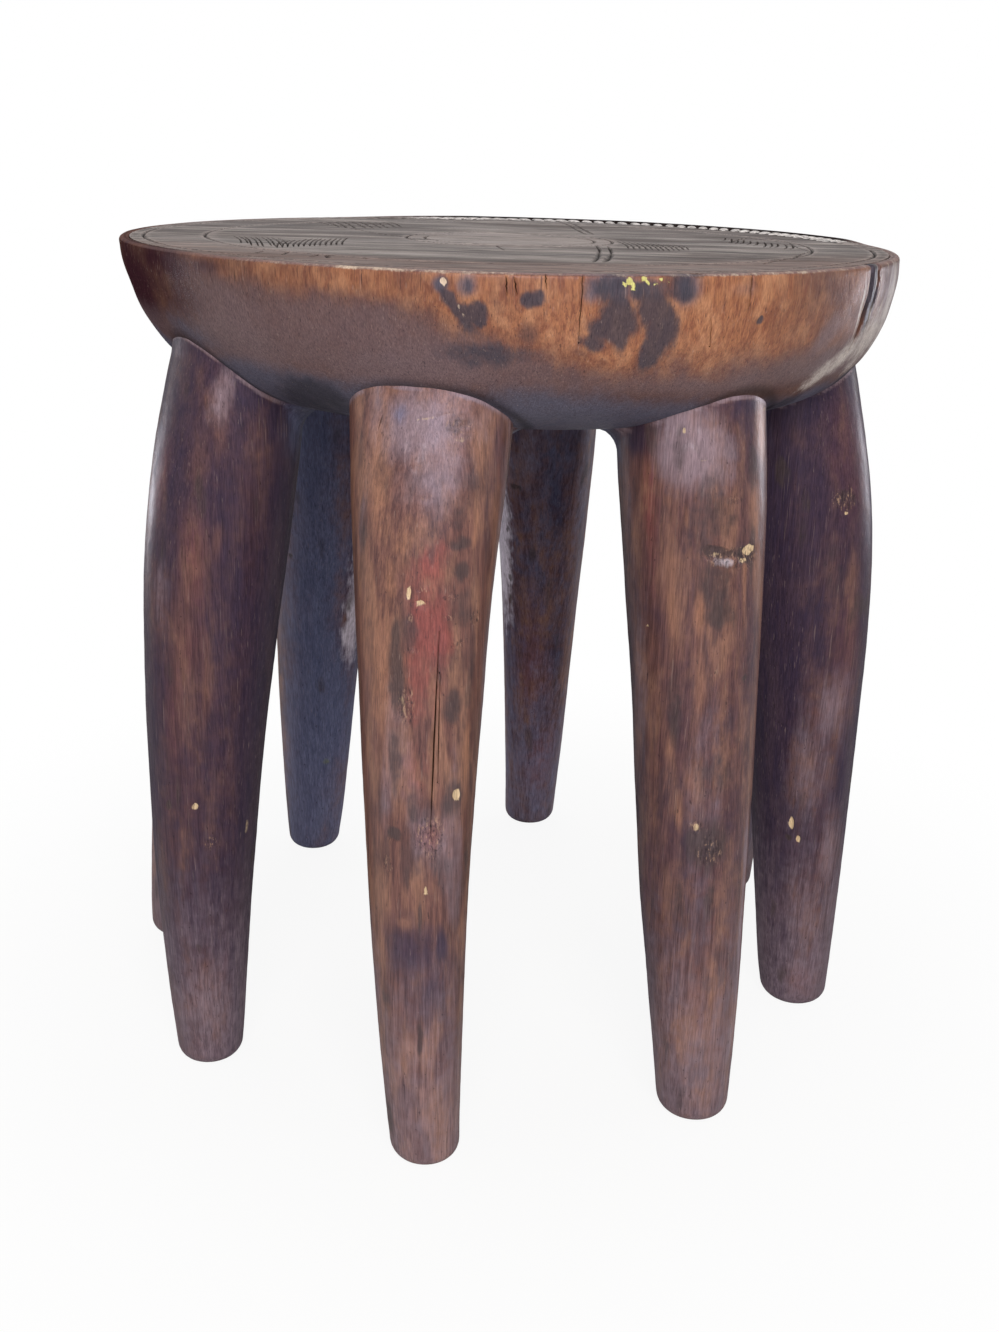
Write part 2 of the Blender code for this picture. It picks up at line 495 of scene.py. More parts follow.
def open_cracks(
    piece: bpy.types.Object, cracks: Sequence[Crack], surface: Callable[[float, float], Vector]
) -> None:
    """Open the drying cracks of a piece. Their lips keep the marks of the wood around them.

    Args:
        piece: The piece to cut.
        cracks: Its cracks.
        surface: Gives the piece's surface at degrees round it and metres along it.
    """
    if not cracks:
        return
    whole = piece.data
    skin = BVHTree.FromPolygons(
        [vert.co for vert in whole.vertices], [face.vertices for face in whole.polygons]
    )
    cutter = bmesh.new()
    for crack in cracks:
        sweep(cutter, crack.frames(surface), CRACK_SIDES)
    carve(piece, cutter)
    nearest = []
    for vert in piece.data.vertices:
        _, _, face, depth = skin.find_nearest(vert.co)
        corners = whole.polygons[face].vertices
        nearest.append((min(corners, key=lambda n: (whole.vertices[n].co - vert.co).length), depth))
    for layer in Layer:
        painted = whole.attributes[layer.value].data
        fresh = piece.data.attributes[layer.value].data
        hidden = CUT_DIRT if layer in (Layer.DIRT_AND_SHADE, Layer.MATT) else 0.0
        for item, (corner, depth) in zip(fresh, nearest):
            item.value = max(painted[corner].value, hidden * ease(0.05 * MM, 0.9 * MM, depth))


# Finishes


# Settings that many nodes share
SMOOTH = {"interpolation_type": "SMOOTHSTEP"}
MIX = {"data_type": "RGBA", "blend_type": "MIX"}
MULTIPLY = {"data_type": "RGBA", "blend_type": "MULTIPLY"}


def add_node(
    tree: bpy.types.NodeTree,
    kind: str,
    inputs: dict[str | int, object] | None = None,
    settings: dict[str, object] | None = None,
) -> bpy.types.NodeOutputs:
    """Add a node, with what feeds it and its settings.

    Args:
        tree: The node tree that gets the node.
        kind: The node's type, without the words that all types start with.
        inputs: For each input, by name or number, a value or the output that feeds it.
        settings: Values for the node's own properties.

    Returns:
        The node's outputs.
    """
    node = tree.nodes.new("ShaderNode" + kind)
    for name, value in (settings or {}).items():
        setattr(node, name, value)
    for name, value in (inputs or {}).items():
        if isinstance(value, Socket):
            tree.links.new(value, node.inputs[name])
        else:
            node.inputs[name].default_value = value
    return node.outputs


class Grain(Enum):
    """A pattern of the wood's own, drawn out along the fibres."""

    STREAK = "streak"
    PATCH = "patch"
    BROAD = "broad"
    FIBRE = "fibre"
    CRUMBS = "crumbs"
    PITS = "pits"
    SCRATCH = "scratch"


@dataclass(frozen=True)
class Veil:
    """A colour that lies over the wood where a pattern passes from one level to another.

    most is the greatest share of it that shows. It shows on torn grain alone where torn says so.
    """

    grain: Grain
    start: float
    end: float
    most: float
    colour: str
    torn: bool = False


@dataclass(frozen=True)
class Tone:
    """How one layer colours the wood.

    dark and light are the colour in and between the streaks, most is the greatest share of it
    that shows, torn says how far the grain tears its edge, and soft how wide that edge is.
    """

    layer: Layer
    dark: str
    light: str
    most: float = 0.85
    torn: float = 0.5
    soft: float = 1.0


@dataclass(frozen=True)
class HandledHardwood:
    """Dense tropical hardwood, hewn, oiled and rubbed dark by years of handling.

    It shows streaks that follow the log, patches where the oil has darkened or worn away, and
    a soft sheen. wood holds its dark, middle and light tones, and patch a darker tone that
    lies over it in clouds.
    """

    name: str
    wood: tuple[str, str, str]
    patch: str
    tones: tuple[Tone, ...]
    streak_mm: tuple[float, float] = (2.4, 60.0)
    patch_mm: tuple[float, float] = (13.0, 60.0)
    fibre_mm: tuple[float, float] = (0.7, 14.0)
    fibre_contrast: float = 0.26
    mottle_mm: float = 7.0
    dents_per_metre: float = 210.0
    dent_depth: float = 0.45 * MM
    roughness: float = 0.36
    gloss: float = 0.4
    grazing_gloss: float = 0.03
    pitted: float = 0.0
    scratched: float = 0.3
    relief: float = 0.4
    upright: bool = True

    def patterns(self, tree: bpy.types.NodeTree, spot: Socket) -> dict[Grain, Socket]:
        """Lay out the patterns of the grain, each stretched along the fibres.

        Args:
            tree: The material's node tree.
            spot: The Object coordinates.

        Returns:
            The output that gives each pattern.
        """
        found = {}
        for grain, (across_mm, along_mm), detail, rough, shift in (
            (Grain.STREAK, self.streak_mm, 6.0, 0.62, 0.0),
            (Grain.PATCH, self.patch_mm, 5.0, 0.6, 7.0),
            (Grain.BROAD, self.patch_mm, 4.0, 0.55, 19.0),
            (Grain.FIBRE, self.fibre_mm, 4.0, 0.65, 3.0),
            (Grain.CRUMBS, (1.3, 4.6), 4.0, 0.7, 41.0),
            (Grain.PITS, (1.4, 3.6), 2.0, 0.5, 53.0),
            (Grain.SCRATCH, (0.7, 38.0), 2.0, 0.5, 61.0),
        ):
            wide, long = 1000 / across_mm, 1000 / along_mm
            scale = (wide, wide, long) if self.upright else (long, wide, wide)
            place = add_node(
                tree, "Mapping", {"Vector": spot, "Scale": scale, "Location": (shift, shift, shift)}
            )[0]
            found[grain] = add_node(tree, "TexNoise", {
                "Vector": place, "Scale": 1.0, "Detail": detail, "Roughness": rough, "Distortion": 0.3,
            })["Fac"]
        return found

    @staticmethod
    def veiled(
        tree: bpy.types.NodeTree, colour: Socket | Sequence[float], veils: Iterable[Veil],
        grains: dict[Grain, Socket], torn: Socket,
    ) -> Socket:
        """Lay veils of colour over a colour.

        Args:
            tree: The material's node tree.
            colour: What lies under them.
            veils: The veils, from the lowest to the highest.
            grains: The output that gives each pattern.
            torn: Where the grain is torn.

        Returns:
            The colour with its veils.
        """
        for veil in veils:
            share = add_node(tree, "MapRange", {
                "Value": grains[veil.grain], "From Min": veil.start, "From Max": veil.end,
                "To Min": 0.0, "To Max": veil.most,
            }, SMOOTH)[0]
            if veil.torn:
                share = add_node(tree, "Math", {0: torn, 1: share}, {"operation": "MULTIPLY"})[0]
            colour = add_node(tree, "Mix", {0: share, 6: colour, 7: linear(veil.colour)}, MIX)[2]
        return colour

    def toned(
        self, tree: bpy.types.NodeTree, colour: Socket, edge: Socket, streak: Socket,
        layers: dict[Layer, Socket],
    ) -> Socket:
        """Colour the wood by its layers, whose edges follow the grain.

        Args:
            tree: The material's node tree.
            colour: The bare wood.
            edge: The pattern that tears the edges.
            streak: The pattern between each layer's dark and light colour.
            layers: The output that gives each layer.

        Returns:
            The coloured wood.
        """
        level = add_node(tree, "Math", {0: edge, 1: 0.5}, {"operation": "SUBTRACT"})[0]
        for tone in self.tones:
            layer = layers[tone.layer]
            share = add_node(
                tree, "Math", {0: level, 1: 5 * tone.torn, 2: layer}, {"operation": "MULTIPLY_ADD"}
            )[0]
            share = add_node(tree, "MapRange", {
                "Value": share, "From Min": 0.5 - tone.soft / 2, "From Max": 0.5 + tone.soft / 2,
                "To Min": 0.0, "To Max": tone.most,
            }, SMOOTH)[0]
            start = add_node(
                tree, "MapRange", {"Value": layer, "From Min": 0.0, "From Max": 0.25}, SMOOTH
            )[0]
            share = add_node(tree, "Math", {0: share, 1: start}, {"operation": "MULTIPLY"})[0]
            streaked = add_node(
                tree, "Mix", {0: streak, 6: linear(tone.dark), 7: linear(tone.light)}, MIX
            )[2]
            colour = add_node(tree, "Mix", {0: share, 6: colour, 7: streaked}, MIX)[2]
        return colour

    def build(self) -> bpy.types.Material:
        """Make the material.

        Returns:
            The material, which reads Object coordinates and the vertex attributes.
        """
        material = bpy.data.materials.new(self.name)
        material.use_nodes = True
        tree = material.node_tree
        shader = tree.nodes["Principled BSDF"].inputs
        spot = add_node(tree, "TexCoord")["Object"]
        grains = self.patterns(tree, spot)
        streak, patch, fibre = grains[Grain.STREAK], grains[Grain.PATCH], grains[Grain.FIBRE]
        layers = {
            layer: add_node(tree, "Attribute", settings={"attribute_name": layer.value})["Fac"]
            for layer in Layer
        }
        mottle, dents = (
            add_node(tree, "TexNoise", {"Vector": spot, "Scale": scale, "Detail": detail})["Fac"]
            for scale, detail in ((1000 / self.mottle_mm, 4.0), (self.dents_per_metre, 3.0))
        )
        edge = add_node(tree, "Math", {0: patch, 1: 0.3}, {"operation": "MULTIPLY"})[0]
        for pattern in (streak, mottle):
            edge = add_node(
                tree, "Math", {0: pattern, 1: 0.35, 2: edge}, {"operation": "MULTIPLY_ADD"}
            )[0]

        dark, middle, light = self.wood
        torn = add_node(
            tree, "MapRange", {"Value": layers[Layer.TORN], "From Min": 0.2, "From Max": 0.9}, SMOOTH
        )[0]
        colour = self.veiled(tree, linear(dark), (
            Veil(Grain.STREAK, 0.36, 0.62, 1.0, middle),
            Veil(Grain.BROAD, 0.42, 0.66, 0.8, light),
            Veil(Grain.PATCH, 0.50, 0.68, 0.75, self.patch),
        ), grains, torn)
        colour = self.toned(tree, colour, edge, streak, layers)
        colour = self.veiled(tree, colour, (
            Veil(Grain.CRUMBS, 0.52, 0.62, 0.75, "2f2625", torn=True),
            Veil(Grain.CRUMBS, 0.44, 0.36, 0.6, "b5937a", torn=True),
            Veil(Grain.PITS, 0.68, 0.76, self.pitted, "2a2022"),
            Veil(Grain.SCRATCH, 0.66, 0.72, self.scratched, "a89288"),
            Veil(Grain.SCRATCH, 0.36, 0.30, 2.0 * self.scratched, "2c2226"),
        ), grains, torn)
        lines = add_node(tree, "MapRange", {
            "Value": fibre, "From Min": 0.34, "From Max": 0.66,
            "To Min": 1 - self.fibre_contrast, "To Max": 1 + 0.6 * self.fibre_contrast,
        }, SMOOTH)[0]
        grey = add_node(tree, "CombineColor", {0: lines, 1: lines, 2: lines})[0]
        colour = add_node(tree, "Mix", {0: 1.0, 6: colour, 7: grey}, MULTIPLY)[2]
        colour = add_node(tree, "Mix", {0: layers[Layer.DIRT_AND_SHADE], 6: colour, 7: linear("1a1414")}, MIX)[2]
        tree.links.new(colour, shader["Base Color"])

        rubbed = add_node(tree, "Math", {0: patch, 1: layers[Layer.TORN]}, {"operation": "ADD"})[0]
        rough = add_node(tree, "MapRange", {
            "Value": rubbed, "From Min": 0.3, "From Max": 0.75,
            "To Min": self.roughness - 0.06, "To Max": self.roughness + 0.1,
        }, SMOOTH)[0]
        tree.links.new(rough, shader["Roughness"])
        height = dents
        for pattern in (fibre, streak):
            height = add_node(
                tree, "Math", {0: pattern, 1: 0.5, 2: height}, {"operation": "MULTIPLY_ADD"}
            )[0]
        bump = add_node(
            tree, "Bump", {"Height": height, "Strength": self.relief, "Distance": self.dent_depth}
        )[0]
        tree.links.new(bump, shader["Normal"])

        facing = add_node(tree, "LayerWeight", {"Blend": 0.5})["Facing"]
        gloss = add_node(tree, "MapRange", {
            "Value": facing, "From Min": 0.35, "From Max": 0.85,
            "To Min": self.gloss, "To Max": self.grazing_gloss,
        }, SMOOTH)[0]
        dull = add_node(
            tree, "Math", {0: layers[Layer.DIRT_AND_SHADE], 1: layers[Layer.MATT]}, {"operation": "MAXIMUM"}
        )[0]
        clean = add_node(tree, "Math", {0: 1.0, 1: dull}, {"operation": "SUBTRACT"})[0]
        gloss = add_node(tree, "Math", {0: gloss, 1: clean}, {"operation": "MULTIPLY"})[0]
        tree.links.new(gloss, shader["Specular IOR Level"])
        shader["Specular Tint"].default_value = linear("d9d4f5")
        return material


# Dense hardwood under old oil: orange-brown and satin where hands rub the rim, nearly black
# lower down. Its mauve sheen and pale grey gleams are painted highlights and reflections,
# and its blue-grey under the bowl is painted shade
SEAT_FINISH = HandledHardwood(
    name="oiled hardwood seat side",
    wood=("84523b", "a36d4b", "b78360"),
    patch="80503a",
    patch_mm=(9.0, 16.0),
    streak_mm=(1.6, 12.0),
    fibre_mm=(0.6, 4.0),
    fibre_contrast=0.24,
    roughness=0.40,
    gloss=0.34,
    tones=(
        Tone(Layer.SHADE, "422f2d", "5e4440", most=0.9, torn=0.2),
        Tone(Layer.RED, "2e1922", "42242c", most=0.95, torn=0.3),
        Tone(Layer.SHEEN, "68565b", "7b696b", most=0.72, torn=0.15),
        Tone(Layer.COOL, "3f4453", "68687a", most=0.85, torn=0.2, soft=0.9),
        Tone(Layer.STAIN_AND_SHADE, "2a2c35", "454149", most=0.88, torn=0.35, soft=0.7),
        Tone(Layer.GLEAM_AND_WEAR, "a89c94", "e0d6ce", most=0.88, torn=0.5),
        Tone(Layer.PALE, "b59884", "f1dfc6", torn=0.3, soft=0.4, most=1.0),
        Tone(Layer.LICHEN, "b3ab55", "ece69a", torn=0.5, soft=0.3, most=1.0),
    ),
)

# The same wood cut flat along its fibres, whose oil has worn off: grey-brown, dry and
# streaked, with fine scratches from what has stood on it. The lips of its cuts and the
# crisp strands of its rope border carry painted highlights
TOP_FINISH = HandledHardwood(
    name="bare incised hardwood top",
    wood=("483e3b", "7c716d", "a69b95"),
    patch="584e4b",
    scratched=0.7,
    streak_mm=(7.0, 90.0),
    patch_mm=(26.0, 120.0),
    fibre_mm=(1.2, 34.0),
    fibre_contrast=0.72,
    roughness=0.48,
    gloss=0.3,
    upright=False,
    tones=(
        Tone(Layer.SHEEN, "958883", "b5a8a2", most=0.8, torn=0.3),
        Tone(Layer.WARM, "6f584f", "877068", most=0.8, torn=0.3),
        Tone(Layer.PALE, "d8d0cc", "f3eeea", torn=0.15, most=1.0, soft=0.5),
    ),
)

# The same wood hewn round and handled: dark red-brown with paler streaks, small pits and a
# bluish bloom where no hand reaches, which is partly dust and partly blue-grey painted shade.
# Its mauve sheen and near-white gleams are painted highlights and reflections
LEG_FINISH = HandledHardwood(
    name="handled hardwood legs",
    wood=("5c3f3a", "7b564c", "966e5a"),
    patch="55403d",
    patch_mm=(11.0, 44.0),
    pitted=0.6,
    scratched=0.22,
    tones=(
        Tone(Layer.WARM, "90624c", "b08268", most=0.78),
        Tone(Layer.RED, "743a34", "9d554d", most=0.82),
        Tone(Layer.SHADE, "23203a", "3f3444", most=0.9, torn=0.25),
        Tone(Layer.SHEEN, "7a6871", "9e8c96", most=0.82, torn=0.3),
        Tone(Layer.COOL, "464d6c", "7b82a2", most=0.82, torn=0.3),
        Tone(Layer.GLEAM_AND_WEAR, "b0a0ad", "f3ebf5", most=0.92, torn=0.5, soft=0.7),
        Tone(Layer.STAIN_AND_SHADE, "332c2e", "554743", most=0.8, torn=0.5, soft=0.8),
        Tone(Layer.PALE, "b48f68", "f4dfb8", torn=0.5, soft=0.4, most=1.0),
        Tone(Layer.LICHEN, "6d7444", "8a9055", most=0.7),
    ),
)


# The seat


# The bowl's section as shares of its thickness and radius, and how far its foot leans to +X
BOWL_DEPTH_SHARES = (0.0, 0.13, 0.27, 0.40, 0.53, 0.65, 0.785, 0.89, 0.95, 0.98, 1.0)
BOWL_RADIUS_SHARES = (1.0, 0.998, 0.986, 0.971, 0.945, 0.911, 0.853, 0.758, 0.632, 0.40, 0.0)
BOWL_LEAN = 0.006

# Bearings round the bowl's side, and the depth in millimetres from which its wood is dark
DARK_TURNS = (-180, -150, -140, -130, -118, -105, -96, -88, -76, -62, -45, -30, 10, 60, 110, 150, 180)
DARK_FROM_MM = (-22, -22, -10, 7, 14, 22, 32, 40, 50, 50, 45, 36, 30, 26, 30, 2, -22)

# The same for how dark all of it is, from 0 to 1: dark wood together with painted shade on the sides
# turned from the light
DUSK_TURNS = (-180, -150, -135, -120, -105, -92, -76, -58, -48, -38, -32, -20, 10, 100, 150, 180)
DUSK_SHARES = (0.95, 0.95, 0.8, 0.45, 0.32, 0.2, 0.05, 0.05, 0.5, 0.5, 0.85, 0.9, 0.7, 0.7, 0.85, 0.95)

# The same for the rim's pale edge, worn and with a painted glint, from 0 to 1
RIM_WEAR_AND_GLINT_TURNS = (-180, -140, -122, -108, -92, -80, -62, -40, -20, 180)
RIM_WEAR_AND_GLINT_SHARES = (0.1, 0.1, 0.34, 0.62, 0.52, 0.34, 0.5, 0.42, 0.3, 0.1)

# The same for the depth in millimetres from which the side turns blue-grey with painted shade
COOL_TURNS = (-180, -145, -120, -80, -54, -34, 0, 180)
COOL_FROM_MM = (34, 41, 45, 50, 57, 54, 60, 40)

# Bearings round the top's border, and how crisp its rope still is
ROPE_TURNS = (-180, -20, 4, 22, 80, 100, 128, 150, 180)
ROPE_SHARES = (0.0, 0.0, 0.3, 0.85, 1.0, 0.75, 0.4, 0.0, 0.0)


def bowl_height(place: Vector) -> float:
    """Give the height of the bowl's underside above or below a point.

    Args:
        place: Any point under the seat.

    Returns:
        The height in metres.
    """
    share = math.hypot(place.x - 0.7 * BOWL_LEAN, place.y) / SEAT_RADIUS
    depth = curve_at(BOWL_RADIUS_SHARES[::-1], BOWL_DEPTH_SHARES[::-1], share)
    return SEAT_HEIGHT - SEAT_THICKNESS * depth


def bowl_side(turn: float, depth: float) -> Vector:
    """Give the point of the bowl's side at a bearing and a depth under the rim.

    Args:
        turn: Degrees round the seat.
        depth: Metres below the top.

    Returns:
        The point.
    """
    share = max(0.0, depth) / SEAT_THICKNESS
    radius = SEAT_RADIUS * curve_at(BOWL_DEPTH_SHARES, BOWL_RADIUS_SHARES, share)
    angle = math.radians(turn)
    x = radius * math.cos(angle) + BOWL_LEAN * share
    return Vector((x, radius * math.sin(angle), SEAT_HEIGHT - depth))


BOWL_MARKS = (
    Mark(-97.6, 4.6, 3.2, 3.2, Layer.PALE, depth_mm=0.5),
    Mark(-98.2, 6, 11, 10, Layer.COOL, 0.9),
    Mark(-98.0, 6, 10, 9, Layer.STAIN_AND_SHADE, 0.5),
    Mark(-94.8, 6.5, 13, 13, Layer.COOL, 0.95),
    Mark(-94.8, 6.5, 10, 11, Layer.STAIN_AND_SHADE, 0.5),
    Mark(-97.0, 13, 8, 16, Layer.STAIN_AND_SHADE, 0.9, tilt=-20),
    Mark(-95.4, 20, 9, 20, Layer.STAIN_AND_SHADE, 0.85, tilt=-24),
    Mark(-93.7, 19, 11, 15, Layer.STAIN_AND_SHADE, 0.9, tilt=-10),
    Mark(-95.9, 16.5, 1.2, 15, Layer.PALE, 0.5, tilt=-24),
    Mark(-91.5, 14, 10, 26, Layer.SHADE, 0.5),
    Mark(-87.4, 11.8, 15, 9, Layer.STAIN_AND_SHADE, 0.95, tilt=-10),
    Mark(-87.2, 11.5, 14, 8, Layer.COOL, 0.5),
    Mark(-88, 28, 18, 16, Layer.SHADE, 0.85),
    Mark(-94, 29, 16, 14, Layer.SHADE, 0.7),
    Mark(-78.6, 5.6, 26, 18, Layer.COOL, 1.0),
    Mark(-78.3, 6, 24, 16, Layer.STAIN_AND_SHADE, 0.8),
    Mark(-73.8, 7.5, 22, 12, Layer.STAIN_AND_SHADE, 0.75),
    Mark(-74.0, 7.0, 26, 15, Layer.COOL, 0.7),
    Mark(-69.6, 5.8, 23, 18, Layer.STAIN_AND_SHADE, 0.72),
    Mark(-68.4, 6, 22, 20, Layer.COOL, 0.9),
    Mark(-72.6, 14, 18, 24, Layer.STAIN_AND_SHADE, 0.95),
    Mark(-71.8, 24, 20, 32, Layer.STAIN_AND_SHADE, 0.95),
    Mark(-72.6, 36, 15, 30, Layer.STAIN_AND_SHADE, 0.95, tilt=6),
    Mark(-76.9, 18.5, 24, 22, Layer.STAIN_AND_SHADE, 0.95, tilt=24),
    Mark(-78.2, 25.5, 24, 20, Layer.STAIN_AND_SHADE, 0.95, tilt=35),
    Mark(-80.2, 31, 18, 11, Layer.STAIN_AND_SHADE, 0.8, tilt=25),
    Mark(-93.5, 37, 54, 16, Layer.STAIN_AND_SHADE, 0.62),
    Mark(-82.0, 36, 14, 7, Layer.SHADE, 0.7, tilt=20),
    Mark(-75.9, 2.9, 3.2, 4.2, Layer.LICHEN),
    Mark(-75.4, 4.9, 2.0, 2.6, Layer.LICHEN),
    Mark(-76.4, 4.6, 1.8, 1.8, Layer.LICHEN),
    Mark(-74.2, 1.7, 2.2, 1.8, Layer.LICHEN),
    Mark(-73.5, 3.6, 1.3, 1.4, Layer.LICHEN),
    Mark(-72.7, 4.2, 1.7, 1.5, Layer.LICHEN),
    Mark(-71.9, 2.0, 1.8, 1.6, Layer.LICHEN),
    Mark(-70.9, 3.4, 1.2, 1.2, Layer.LICHEN, 0.8),
    Mark(-57.5, 22, 4.6, 5.4, Layer.STAIN_AND_SHADE, 1.0, depth_mm=0.6, tilt=30),
    Mark(-60.5, 7, 22, 10, Layer.SHEEN, 0.5),
    Mark(-47.5, 15, 8, 7, Layer.SHADE, 0.6),
    Mark(-45.5, 24, 10, 8, Layer.SHADE, 0.45),
    Mark(-67, 0.5, 7, 3, Layer.DIRT_AND_SHADE, 0.3, depth_mm=1.5),
    Mark(-141, 6, 76, 24, Layer.RED),
    Mark(-154, 24, 120, 66, Layer.RED),
    Mark(-137, 22, 46, 24, Layer.SHADE),
    Mark(-138, 24, 60, 34, Layer.RED, 0.6),
    # A blue-grey painted sheen low on the left side
    Mark(-139, 43, 70, 30, Layer.COOL, 0.6),
    Mark(-132, 6, 34, 12, Layer.RED, 0.75),
    Mark(-124, 11, 22, 8, Layer.SHADE, 0.8),
    Mark(-118, 17, 30, 9, Layer.SHADE, 0.6),
    Mark(-106, 19, 28, 12, Layer.SHADE, 0.6),
    Mark(-99, 18, 12, 12, Layer.SHADE, 0.6),
    Mark(-93.5, 39, 50, 12, Layer.SHADE, 1.0),
    # Painted grey reflection at the right end, over its weathered grey wood: the next five marks
    Mark(-44, 35, 50, 18, Layer.SHEEN, 0.9, tilt=-35),
    Mark(-24, 20, 26, 46, Layer.SHEEN, 1.0),
    Mark(-22, 26, 34, 54, Layer.GLEAM_AND_WEAR, 0.9),
    Mark(-36, 49, 70, 20, Layer.GLEAM_AND_WEAR, 1.0, tilt=-22),
    Mark(-28, 40, 40, 40, Layer.GLEAM_AND_WEAR, 0.9),
    Mark(-32.4, 18, 30, 96, Layer.SHADE),
    Mark(-32.6, 16, 13, 66, Layer.STAIN_AND_SHADE, 0.9),
    Mark(-35.9, 20, 3.2, 54, Layer.GLEAM_AND_WEAR),
    Mark(-31.9, 22, 2.8, 50, Layer.GLEAM_AND_WEAR, 0.8),
    # Painted shade deep under the bowl between the legs: the next three marks
    Mark(-121, 68, 70, 34, Layer.STAIN_AND_SHADE, 0.75),
    Mark(-22, 67, 80, 22, Layer.STAIN_AND_SHADE, 0.85),
    Mark(-42, 74, 40, 22, Layer.STAIN_AND_SHADE, 0.7),
    Mark(-30.2, 14, 1.4, 34, Layer.PALE, 0.5, tilt=4),
    Mark(-27.4, 16, 1.6, 36, Layer.PALE, 0.4, tilt=6),
    Mark(-35.2, 18, 1.2, 30, Layer.PALE, 0.45, tilt=3),
    Mark(-29.0, 18, 3.0, 40, Layer.SHADE, 0.8),
)

BOWL_CRACKS = (
    Crack(-33.6, -3, 50, 5.5, 10.0, -1.6, open_end=True),
    Crack(-31.2, -3, 38, 3.6, 8.0, -1.2, open_end=True),
    Crack(-90.3, 1, 9, 0.5, 1.2),
    Crack(-89.4, 2, 8, 0.5, 1.2, 0.3),
    Crack(-85.8, -2, 9, 0.5, 1.2, 0.1, open_end=True),
    Crack(-81.4, -2, 34, 0.4, 1.2, -0.6, open_end=True),
    Crack(-59.4, -2, 18, 0.6, 1.6, -0.2, open_end=True),
    Crack(-65.0, 20, 14, 0.4, 1.2, 0.4),
    Crack(75.0, 6, 36, 1.6, 5.0, 1.5),
    Crack(128.0, 2, 30, 0.8, 3.0, -0.8),
)


